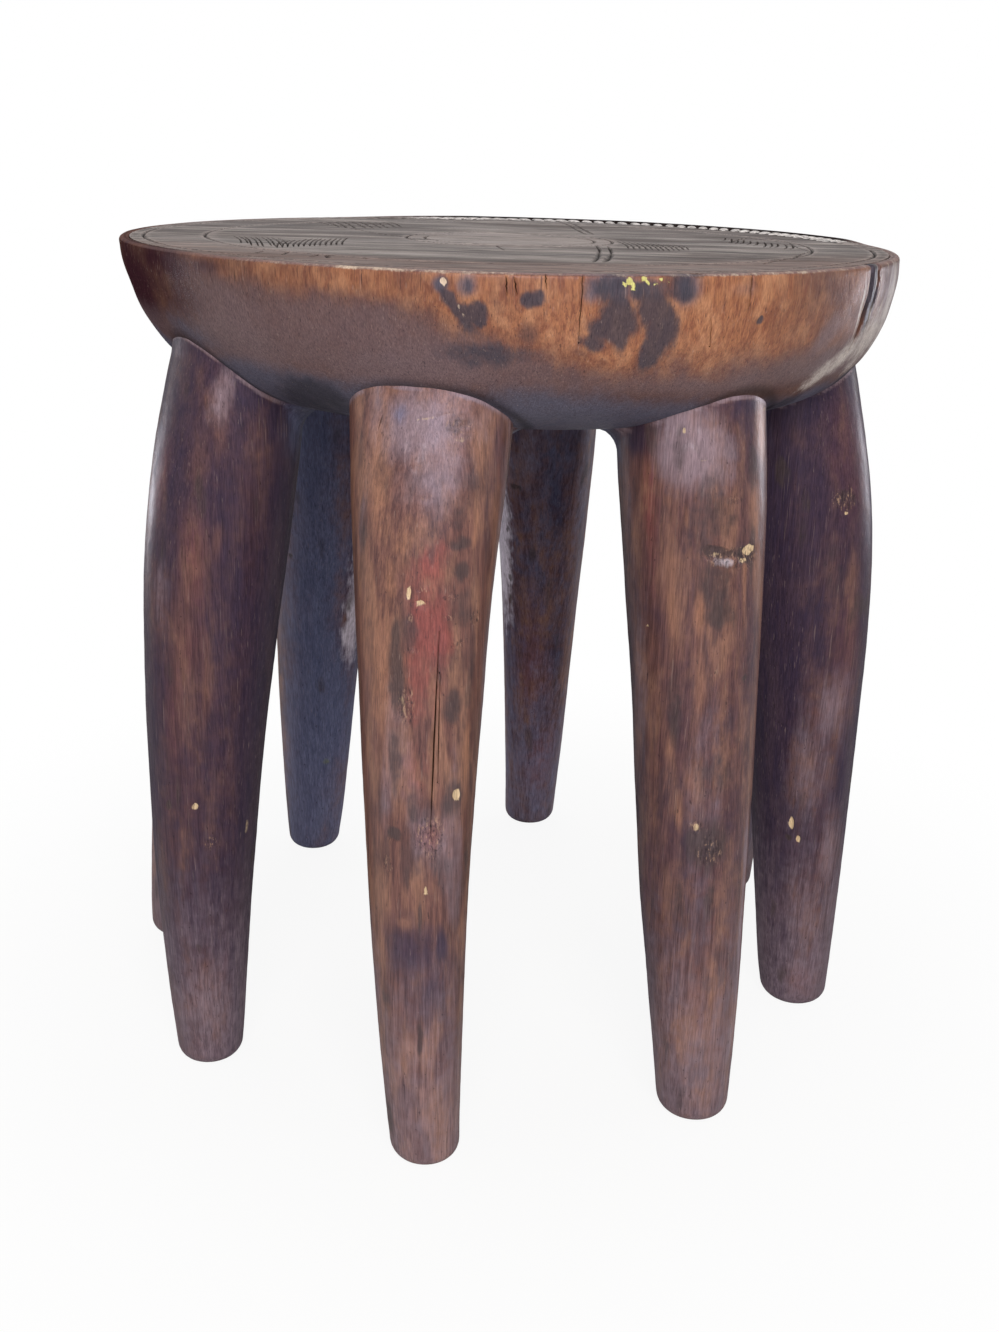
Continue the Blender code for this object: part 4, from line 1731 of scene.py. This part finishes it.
FRONT_LEFT_MARKS = (
    Mark(8, 422, 27, 18, Layer.SHADE, 0.9),
    # A painted highlight near the top
    Mark(52, 410, 20, 38, Layer.SHEEN, 0.75),
    Mark(42, 374, 18, 60, Layer.WARM, 0.45),
    Mark(56, 392, 12, 34, Layer.WARM, 0.4),
    Mark(46, 326, 28, 90, Layer.RED, 0.4),
    Mark(46, 326, 26, 80, Layer.WARM, 0.55),
    Mark(38, 262, 26, 110, Layer.WARM, 0.45),
    Mark(64, 334, 7, 32, Layer.WARM, 0.5),
    Mark(104, 322, 44, 184, Layer.SHADE, 0.85),
    Mark(78, 350, 12, 63, Layer.SHADE, 0.75),
    Mark(114, 196, 42, 131, Layer.SHADE, 0.6),
    Mark(4, 362, 22, 75, Layer.RED, 0.55),
    Mark(54, 180, 5, 5, Layer.PALE, 0.75, depth_mm=0.9),
    Mark(24, 178, 4.5, 7.5, Layer.STAIN_AND_SHADE, 0.9, depth_mm=0.4),
    Mark(116, 160, 5, 13, Layer.PALE, 0.35, depth_mm=0.3),
    Mark(72, 156, 10, 10, Layer.TORN),
    Mark(56, 86, 4, 8, Layer.STAIN_AND_SHADE, 0.6),
    Mark(80, 144, 8, 28, Layer.SHADE, 0.7),
    Mark(32, 244, 16, 94, Layer.RED, 0.35),
    Mark(62, 252, 8, 71, Layer.WARM, 0.45),
    # Painted sheen on the foot
    Mark(60, 42, 50, 78, Layer.SHEEN, 0.6),
    Mark(92, 70, 8, 42, Layer.RED, 0.5),
    # Painted shade under the bowl by the fillet
    Mark(100, 398, 33, 47, Layer.SHADE, 0.9),
    Mark(48, 280, 24, 60, Layer.RED, 0.3),
    Mark(18, 300, 18, 65, Layer.SHEEN, 0.35),
)

FRONT_MARKS = (
    # Painted highlight on the upper part, in the sheen and gleam marks from 386 to 410 mm up
    Mark(8, 410, 63, 40, Layer.SHEEN),
    Mark(10, 400, 50, 44, Layer.GLEAM_AND_WEAR, 0.16),
    Mark(-22, 300, 30, 130, Layer.WARM, 0.7),
    Mark(24, 116, 46, 60, Layer.SHADE, 0.75),
    Mark(16, 386, 47, 43, Layer.SHEEN, 0.7),
    Mark(-12, 414, 13, 12, Layer.COOL, 0.6),
    Mark(12, 414, 22, 1.5, Layer.PALE, 0.4, depth_mm=0.2, tilt=12),
    Mark(28, 410, 14, 8.5, Layer.STAIN_AND_SHADE, 0.6, depth_mm=0.3, tilt=8),
    Mark(28, 410, 17, 10, Layer.TORN, 0.8),
    Mark(32, 404, 12, 4, Layer.PALE, 0.4, tilt=8),
    Mark(-32, 398, 10, 29, Layer.WARM),
    Mark(-26, 370, 18, 63, Layer.WARM, 0.65),
    Mark(-6, 352, 16, 31, Layer.WARM, 0.7),
    Mark(-16, 332, 8, 49, Layer.WARM, 0.8),
    Mark(-42, 302, 14, 60, Layer.WARM, 0.45),
    Mark(64, 388, 20, 92, Layer.SHADE, 0.45),
    Mark(40, 380, 19, 32, Layer.STAIN_AND_SHADE, 0.35),
    Mark(10, 376, 8, 2.5, Layer.TORN, depth_mm=0.3),
    Mark(34, 366, 12, 15, Layer.STAIN_AND_SHADE, 0.7, depth_mm=0.2),
    Mark(38, 354, 16, 8.5, Layer.STAIN_AND_SHADE, 0.85, depth_mm=0.4),
    Mark(42, 340, 14, 14, Layer.STAIN_AND_SHADE, 0.95, depth_mm=0.3),
    Mark(50, 358, 5, 29, Layer.WARM),
    Mark(13, 342, 24, 30, Layer.RED),
    Mark(16, 314, 22, 70, Layer.RED),
    Mark(30, 310, 12, 44, Layer.RED, 0.9),
    Mark(12, 284, 22, 44, Layer.RED, 0.8),
    Mark(0, 330, 2.5, 7, Layer.PALE, depth_mm=0.7),
    Mark(10, 326, 5, 2.5, Layer.PALE, depth_mm=0.6, tilt=-12),
    Mark(10, 332, 6, 3, Layer.TORN),
    Mark(34, 328, 10, 3.5, Layer.TORN),
    Mark(34, 318, 6.5, 3.5, Layer.TORN),
    Mark(42, 304, 11, 5, Layer.TORN),
    Mark(60, 316, 8, 9, Layer.TORN),
    Mark(4, 302, 7.5, 3.5, Layer.TORN),
    Mark(2, 318, 3.5, 5, Layer.TORN),
    Mark(48, 322, 23, 27, Layer.STAIN_AND_SHADE, 0.45),
    Mark(2, 310, 9.5, 22, Layer.STAIN_AND_SHADE, 0.65),
    Mark(-10, 292, 10, 54, Layer.STAIN_AND_SHADE, 0.85, depth_mm=0.2),
    Mark(42, 274, 12, 23, Layer.STAIN_AND_SHADE, 0.9, depth_mm=0.3),
    Mark(-2, 274, 9, 22, Layer.TORN, depth_mm=0.2),
    Mark(-4, 274, 3.5, 15, Layer.PALE, 0.4, tilt=15),
    Mark(-20, 246, 4.5, 37, Layer.WARM),
    Mark(62, 248, 6, 38, Layer.WARM),
    Mark(-12, 248, 8.5, 48, Layer.STAIN_AND_SHADE, 0.75),
    Mark(4, 240, 22, 45, Layer.RED, 0.45),
    Mark(52, 224, 6, 6.5, Layer.PALE, depth_mm=0.8, tilt=18),
    Mark(48, 222, 16, 26, Layer.STAIN_AND_SHADE, 0.75, depth_mm=0.2),
    Mark(24, 204, 19, 24, Layer.TORN, depth_mm=0.5),
    Mark(24, 204, 18, 18, Layer.RED, 0.5),
    Mark(-14, 204, 9.5, 9, Layer.STAIN_AND_SHADE, 0.95, depth_mm=0.6),
    Mark(-22, 186, 7, 10, Layer.TORN),
    Mark(20, 174, 2, 4, Layer.PALE, 0.9, depth_mm=0.5, tilt=10),
    Mark(-4, 154, 11, 9.5, Layer.WARM, 0.6),
    Mark(2, 138, 34, 47, Layer.SHADE, 0.85),
    Mark(40, 140, 12, 35, Layer.SHADE, depth_mm=0.3),
    Mark(12, 86, 4, 29, Layer.STAIN_AND_SHADE, 0.85, depth_mm=0.3),
    Mark(14, 160, 3, 26, Layer.STAIN_AND_SHADE, 0.75, depth_mm=0.2),
    Mark(-2, 82, 8.5, 18, Layer.WARM, 0.55),
    Mark(12, 52, 11, 17, Layer.WARM, 0.5),
    Mark(20, 32, 50, 60, Layer.SHEEN, 0.3),
    Mark(-62, 108, 22, 113, Layer.SHEEN, 0.6),
    Mark(54, 82, 23, 65, Layer.SHADE, 0.55),
    Mark(24, 180, 36, 26, Layer.STAIN_AND_SHADE, 0.3),
)

FRONT_RIGHT_MARKS = (
    # Painted highlight on the upper part: the next three marks
    Mark(-46, 408, 36, 30, Layer.SHEEN),
    Mark(-40, 392, 42, 52, Layer.SHEEN),
    Mark(-42, 402, 30, 40, Layer.GLEAM_AND_WEAR, 0.2),
    Mark(-46, 406, 1.5, 14, Layer.PALE, 0.5, depth_mm=0.2, tilt=-22),
    Mark(-34, 390, 4, 2, Layer.PALE, 0.5),
    Mark(24, 402, 18, 46, Layer.WARM),
    Mark(14, 362, 15, 67, Layer.WARM, 0.85),
    Mark(18, 328, 15, 58, Layer.WARM, 0.75),
    Mark(34, 412, 10, 3, Layer.PALE, 0.4),
    Mark(-90, 398, 32, 34, Layer.SHADE, 0.95),
    Mark(-102, 364, 18, 83, Layer.SHEEN, 0.35),
    Mark(-76, 362, 12, 108, Layer.RED, 0.5),
    Mark(-32, 374, 17, 27, Layer.STAIN_AND_SHADE, 0.45),
    Mark(-20, 360, 24, 27, Layer.STAIN_AND_SHADE, 0.55),
    Mark(-36, 354, 14, 30, Layer.STAIN_AND_SHADE, 0.45),
    Mark(-30, 356, 2.5, 26, Layer.WARM, 0.9),
    Mark(-48, 360, 3, 25, Layer.WARM, 0.8),
    Mark(-8, 370, 10, 5, Layer.TORN),
    Mark(-22, 343, 20, 8, Layer.STAIN_AND_SHADE, 1.0, depth_mm=1.3, tilt=-6),
    Mark(2, 341, 18, 10, Layer.STAIN_AND_SHADE, 0.9, depth_mm=0.9),
    Mark(-10, 340, 40, 13, Layer.TORN, tilt=-4),
    Mark(-16, 338, 18, 7, Layer.GLEAM_AND_WEAR, 0.75, tilt=-4),
    Mark(6, 343, 8.5, 5.5, Layer.PALE, depth_mm=0.4),
    Mark(-24, 342, 5, 3, Layer.PALE, 0.45, depth_mm=0.8),
    Mark(0, 338, 5.5, 2.5, Layer.PALE, 0.6, depth_mm=0.7),
    Mark(-26, 328, 24, 37, Layer.STAIN_AND_SHADE, 0.6),
    Mark(-18, 310, 23, 20, Layer.STAIN_AND_SHADE, 0.7),
    Mark(-38, 312, 9, 39, Layer.WARM, 0.95),
    Mark(-60, 310, 9, 62, Layer.WARM, 0.8),
    Mark(2, 324, 5, 50, Layer.WARM, 0.85),
    Mark(-74, 306, 17, 34, Layer.SHADE, 0.6),
    Mark(-84, 300, 2.5, 2, Layer.PALE, 0.8, depth_mm=0.3),
    Mark(-60, 262, 8.5, 79, Layer.STAIN_AND_SHADE, 0.5),
    Mark(-38, 274, 8.5, 68, Layer.WARM, 0.6),
    Mark(-24, 278, 1.5, 9.5, Layer.PALE, 0.35, depth_mm=0.2, tilt=12),
    Mark(-98, 262, 18, 140, Layer.SHEEN, 0.4),
    # Painted highlight along the right edge
    Mark(26, 120, 9, 180, Layer.SHEEN, 0.95),
    Mark(-64, 234, 7.5, 32, Layer.WARM, 0.7),
    Mark(6, 274, 4.5, 4, Layer.STAIN_AND_SHADE, 0.8, depth_mm=0.2),
    Mark(-40, 214, 12, 34, Layer.WARM, 0.75),
    Mark(-56, 200, 6, 29, Layer.WARM, 0.85),
    Mark(-40, 192, 4, 6, Layer.PALE, 0.65, depth_mm=0.8),
    Mark(-40, 192, 8, 9.5, Layer.TORN),
    Mark(-22, 216, 1.5, 16, Layer.PALE, 0.45, depth_mm=0.2),
    Mark(-20, 220, 26, 34, Layer.STAIN_AND_SHADE, 0.5),
    Mark(-24, 180, 27, 35, Layer.STAIN_AND_SHADE, 0.75),
    Mark(-26, 178, 17, 22, Layer.TORN, 0.7),
    Mark(-46, 78, 56, 141, Layer.SHEEN, 0.5),
    Mark(-56, 146, 6, 35, Layer.STAIN_AND_SHADE, 0.45),
    Mark(-24, 146, 7.5, 35, Layer.STAIN_AND_SHADE, 0.6),
    Mark(-20, 104, 29, 36, Layer.STAIN_AND_SHADE, 0.35),
    Mark(18, 46, 10, 56, Layer.SHEEN),
    Mark(24, 64, 8, 37, Layer.SHADE, 0.8),
    Mark(-20, 20, 40, 17, Layer.WARM, 0.35),
    Mark(-104, 138, 16, 90, Layer.RED, 0.35),
)

RIGHT_MARKS = (
    # Painted shadow that the front-right leg casts on this leg's left half: the shade marks near -100
    # degrees
    Mark(-96, 370, 33, 74, Layer.SHADE),
    Mark(-110, 310, 29, 247, Layer.SHADE, 0.95),
    Mark(-60, 370, 22, 60, Layer.WARM, 0.5),
    Mark(-40, 370, 44, 130, Layer.RED, 0.5),
    Mark(-46, 376, 34, 90, Layer.WARM, 0.45),
    Mark(-46, 250, 40, 150, Layer.RED, 0.4),
    Mark(-100, 410, 66, 60, Layer.SHADE),
    Mark(-44, 280, 22, 120, Layer.WARM, 0.5),
    Mark(-50, 348, 22, 14, Layer.TORN, depth_mm=0.2),
    Mark(-50, 348, 21, 12, Layer.STAIN_AND_SHADE, 0.5),
    Mark(-50, 340, 3, 2.5, Layer.PALE, 0.8, depth_mm=0.3),
    Mark(-44, 292, 19, 77, Layer.WARM, 0.45),
    Mark(-64, 306, 16, 41, Layer.STAIN_AND_SHADE, 0.35),
    Mark(-64, 256, 23, 66, Layer.SHADE, 0.5),
    Mark(-56, 216, 34, 90, Layer.SHEEN, 0.5),
    Mark(-90, 298, 2.5, 9.5, Layer.PALE, 0.3, depth_mm=0.3, tilt=12),
    Mark(-94, 276, 2.5, 7, Layer.PALE, 0.25, depth_mm=0.3, tilt=10),
    Mark(-116, 178, 45, 100, Layer.SHADE, 0.85),
    Mark(-80, 180, 40, 120, Layer.SHEEN, 0.42),
    Mark(-122, 76, 34, 58, Layer.RED, 0.5),
    Mark(-98, 138, 3, 9.5, Layer.PALE, 0.9, depth_mm=0.7),
    Mark(-90, 128, 3, 5.5, Layer.PALE, 0.85, depth_mm=0.6),
    Mark(-102, 128, 4.5, 5.5, Layer.STAIN_AND_SHADE, 0.95, depth_mm=0.5),
    Mark(-70, 160, 22, 56, Layer.SHADE, 0.4),
    Mark(-50, 122, 23, 83, Layer.SHEEN, 0.5),
    Mark(-138, 32, 23, 60, Layer.SHADE, 0.9),
    Mark(-86, 22, 32, 33, Layer.RED, 0.5),
    Mark(-84, 84, 37, 77, Layer.SHEEN, 0.4),
)

BACK_LEFT_MARKS = (
    Mark(110, 260, 26, 137, Layer.COOL, 0.3),
    Mark(142, 194, 20, 318, Layer.SHADE),
    # Painted highlight along the right edge
    Mark(-166, 214, 24, 130, Layer.GLEAM_AND_WEAR, 0.85),
    Mark(150, 110, 60, 150, Layer.SHADE, 0.9),
    Mark(154, 42, 28, 71, Layer.SHADE, 0.85),
    Mark(162, 80, 5.5, 4, Layer.LICHEN, 0.5),
    Mark(104, 250, 5, 4.5, Layer.STAIN_AND_SHADE, depth_mm=0.6),
    Mark(116, 338, 33, 42, Layer.SHADE, 0.9),
    Mark(-168, 78, 20, 102, Layer.RED, 0.4),
)

BACK_MARKS = (
    # Painted highlight along the left edge: the next two marks
    Mark(118, 262, 38, 180, Layer.GLEAM_AND_WEAR),
    Mark(126, 236, 22, 80, Layer.GLEAM_AND_WEAR),
    Mark(122, 340, 18, 100, Layer.SHEEN),
    Mark(178, 264, 12, 135, Layer.WARM, 0.3),
    Mark(-160, 294, 25, 155, Layer.SHADE),
    Mark(-124, 292, 15, 127, Layer.SHEEN, 0.5),
    Mark(-158, 64, 39, 106, Layer.RED, 0.8),
    Mark(176, 150, 40, 160, Layer.RED, 0.5),
    Mark(134, 166, 14, 103, Layer.COOL, 0.5),
    Mark(152, 296, 8.5, 4.5, Layer.STAIN_AND_SHADE, depth_mm=0.3),
    Mark(136, 260, 3, 5.5, Layer.STAIN_AND_SHADE, depth_mm=0.3),
    Mark(138, 220, 3, 7, Layer.STAIN_AND_SHADE, depth_mm=0.3),
    Mark(136, 202, 3, 9.5, Layer.STAIN_AND_SHADE, depth_mm=0.3),
    Mark(-150, 162, 24, 102, Layer.SHADE, 0.8),
)

LEGS = (
    Leg(
        "leg_front_left", -144.2, 0.2138, 0.1800, 2.2,
        (19.1, 21.7, 25.3, 29.3, 32.7, 36.5, 39.8, 40.5, 38.5),
        drift_mm=(0.8, 0.7, 0.4, 0.2, 0.0, -0.1, 0.3, 1.2, 1.6),
        seed=1.3, dusk=0.8, crest_out=0.213, marks=FRONT_LEFT_MARKS,
    ),
    Leg(
        "leg_front", -99.3, 0.2182, 0.1760, 1.8,
        (19.2, 20.8, 23.2, 25.9, 28.6, 31.4, 35.0, 38.8, 42.2),
        drift_mm=(1.2, 0.2, -0.8, -1.6, -1.8, -1.6, -1.5, -0.7, 0.6),
        sweep=-2.6, seed=2.9, dusk=-0.08, crest_out=0.2065, marks=FRONT_MARKS,
        cracks=(
            Crack(24, 200, 112, 0.9, 2.2, 2.0),
            Crack(30, 232, 60, 0.6, 1.5, -2.0),
            Crack(-30, 405, 9, 0.6, 1.5, 4.0),
        ),
    ),
    Leg(
        "leg_front_right", -54.3, 0.2080, 0.1650, 1.2,
        (20.5, 22.8, 26.3, 29.9, 32.5, 34.8, 37.6, 39.2, 39.1),
        drift_mm=(1.2, 0.5, -0.3, -0.9, -0.4, 0.5, 0.5, 0.0, -0.7),
        seed=4.1, dusk=0.46, marks=FRONT_RIGHT_MARKS,
    ),
    Leg(
        "leg_right", -11.4, 0.2100, 0.1670, 2.2,
        (21.0, 23.9, 27.3, 31.0, 34.8, 38.9, 41.9, 41.5, 39.1),
        bulge_mm=(-0.4, -2.5, -4.3, -5.0, -4.3, -2.9, -1.3, -0.7, -0.7),
        seed=5.7, dusk=0.9, marks=RIGHT_MARKS,
    ),
    Leg(
        "leg_back_right", 32.1, 0.2115, 0.1700, 1.7,
        (20.0, 22.0, 25.0, 28.5, 32.0, 35.8, 38.6, 39.6, 38.8),
        seed=6.2, dusk=0.5, cool=0.4, sides=72, rings=140,
        cracks=(Crack(10, 120, 90, 0.8, 2.0, 3.0),),
    ),
    Leg(
        "leg_back", 82.7, 0.2220, 0.1750, 1.6,
        (19.6, 21.2, 23.9, 26.9, 30.0, 34.1, 38.0, 39.7, 39.7),
        drift_mm=(-0.8, -1.4, -1.9, -2.1, -2.1, -1.9, -1.6, -1.3, -1.0),
        sweep=-1.6, seed=7.4, dusk=0.15, cool=0.4, sides=72, rings=140, marks=BACK_MARKS,
        cracks=(Crack(-10, 210, 80, 0.8, 2.0, -3.0),),
    ),
    Leg(
        "leg_back_left", 131.6, 0.2186, 0.1750, 1.8,
        (19.1, 22.3, 26.1, 29.9, 33.4, 37.1, 40.1, 40.9, 39.9),
        drift_mm=(0.2, -1.0, -1.9, -2.2, -2.3, -2.2, -2.0, -1.8, -1.5),
        seed=8.8, dusk=0.2, cool=0.95, sides=72, rings=140, marks=BACK_LEFT_MARKS,
        cracks=(Crack(20, 260, 70, 0.8, 2.0, 2.0),),
    ),
    Leg(
        "leg_left", 173.7, 0.2245, 0.1625, 1.2,
        (20.0, 22.0, 24.6, 27.6, 31.0, 34.8, 37.6, 38.8, 38.2),
        seed=9.5, dusk=0.4, cool=0.3, sides=72, rings=140,
        cracks=(Crack(-15, 90, 110, 0.8, 2.0, 2.0),),
    ),
)


# Floor, lights and camera


@dataclass
class Studio:
    """A plain pale floor, soft light and the photograph's point of view."""

    focal_px: float = 1464.0
    frame_px: float = 1332.0
    sensor: float = 36.0
    yaw: float = 0.0009
    pitch: float = 0.348
    roll: float = 0.0265
    eye: tuple[float, float, float] = (0.0, -0.9029, 0.5411)
    floor_radius: float = 6.0
    shadow_reach: tuple[float, float] = (0.15, 0.6)
    ambient: float = 0.34

    def camera(self) -> None:
        """Stand the camera where the photograph was taken."""
        level_share = math.cos(self.pitch)
        ahead = Vector((
            math.sin(self.yaw) * level_share, math.cos(self.yaw) * level_share, -math.sin(self.pitch)
        ))
        level = Vector((math.cos(self.yaw), -math.sin(self.yaw), 0))
        upright = level.cross(ahead)
        right = level * math.cos(self.roll) + upright * math.sin(self.roll)
        up = upright * math.cos(self.roll) - level * math.sin(self.roll)
        lens = bpy.data.cameras.new("photo_camera")
        lens.sensor_fit = "VERTICAL"
        lens.sensor_height = self.sensor
        lens.lens = self.focal_px / self.frame_px * self.sensor
        lens.clip_start = 10 * MM
        camera = bpy.data.objects.new("photo_camera", lens)
        bpy.context.collection.objects.link(camera)
        pose = Matrix((right, up, -ahead)).transposed().to_4x4()
        pose.translation = Vector(self.eye)
        camera.matrix_world = pose
        bpy.context.scene.camera = camera

    @staticmethod
    def lamp(
        name: str, place: tuple[float, float, float], size: tuple[float, float], power: float,
        colour: str,
    ) -> None:
        """Hang one soft area lamp that looks at the stool.

        Args:
            name: The lamp's name.
            place: Where it hangs.
            size: Its width and height in metres.
            power: Its power in watts.
            colour: Its colour as sRGB hex.
        """
        light = bpy.data.lights.new(name, "AREA")
        light.shape = "RECTANGLE"
        light.size, light.size_y = size
        light.energy = power
        light.color = linear(colour)[:3]
        holder = bpy.data.objects.new(name, light)
        bpy.context.collection.objects.link(holder)
        holder.location = place
        aim = Vector((0, 0, 0.3)) - Vector(place)
        holder.rotation_euler = aim.to_track_quat("-Z", "Y").to_euler()

    def floor(self) -> None:
        """Lay the pale matt paper floor, which the camera sees fade to white past the stool."""
        shape = bmesh.new()
        bmesh.ops.create_circle(shape, cap_ends=True, segments=96, radius=self.floor_radius)
        ground = make_object("floor", shape)
        material = bpy.data.materials.new("pale matt floor")
        material.use_nodes = True
        tree = material.node_tree
        tree.nodes.clear()
        near, far = self.shadow_reach
        spot = add_node(tree, "TexCoord")["Object"]
        out = add_node(tree, "VectorMath", {0: spot}, {"operation": "LENGTH"})["Value"]
        fade = add_node(tree, "MapRange", {
            "Value": out, "From Min": near, "From Max": far, "To Min": 0.9, "To Max": 1.0,
        }, SMOOTH)[0]
        seen = add_node(tree, "LightPath")["Is Camera Ray"]
        share = add_node(tree, "Math", {0: fade, 1: seen}, {"operation": "MULTIPLY"})[0]
        matt = add_node(tree, "BsdfDiffuse", {"Color": linear("f2f2f2")})[0]
        white = add_node(tree, "Emission", {"Color": linear("ffffff"), "Strength": 1.0})[0]
        both = add_node(tree, "MixShader", {0: share, 1: matt, 2: white})[0]
        add_node(tree, "OutputMaterial", {"Surface": both})
        ground.data.materials.append(material)
        ground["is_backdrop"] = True

    def world(self) -> None:
        """Surround the stool with soft light that the camera and reflections see as white."""
        world = bpy.data.worlds.new("studio")
        bpy.context.scene.world = world
        world.use_nodes = True
        tree = world.node_tree
        tree.nodes.clear()
        path = add_node(tree, "LightPath")
        seen = path["Is Camera Ray"]
        for kind in ("Is Transmission Ray", "Is Glossy Ray"):
            seen = add_node(tree, "Math", {0: seen, 1: path[kind]}, {"operation": "MAXIMUM"})[0]
        strength = add_node(tree, "MapRange", {"Value": seen, "To Min": self.ambient, "To Max": 1.0})[0]
        glow = add_node(tree, "Background", {"Color": linear("ffffff"), "Strength": strength})[0]
        add_node(tree, "OutputWorld", {"Surface": glow})

    def build(self) -> None:
        """Set up floor, world, lamps and camera."""
        self.floor()
        self.world()
        self.lamp("key", (0.2, -2.2, 1.5), (1.4, 1.4), 43, "fffaf6")
        self.lamp("overhead", (0.1, 0.9, 2.2), (1.6, 1.6), 8, "f6f8ff")
        self.lamp("back_left_strip", (-1.5, 1.15, 0.12), (0.5, 0.22), 6, "f4f4ff")
        self.lamp("back_right_strip", (1.8, 1.4, 0.2), (0.4, 0.4), 8, "f4f4ff")
        self.camera()
        bpy.context.scene.view_settings.view_transform = "Standard"


def corners() -> list[list[float]]:
    """Give the shown object's box as plain lists."""
    return [list(corner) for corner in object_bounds()]


def main() -> None:
    """Dress the stool and set up its studio."""
    logging.basicConfig(level=logging.INFO, format="%(message)s")
    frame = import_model()
    LOG.info("frame: %s", frame)
    for builder in (Bowl(), CarvedTop()):
        piece = builder.build()
        LOG.info("%s: %d faces", piece.name, len(piece.data.polygons))
    finish = LEG_FINISH.build()
    for leg in LEGS:
        piece = leg.build(finish)
        LOG.info("%s: %d faces", piece.name, len(piece.data.polygons))
    Studio().build()


if __name__ == "__main__":
    main()
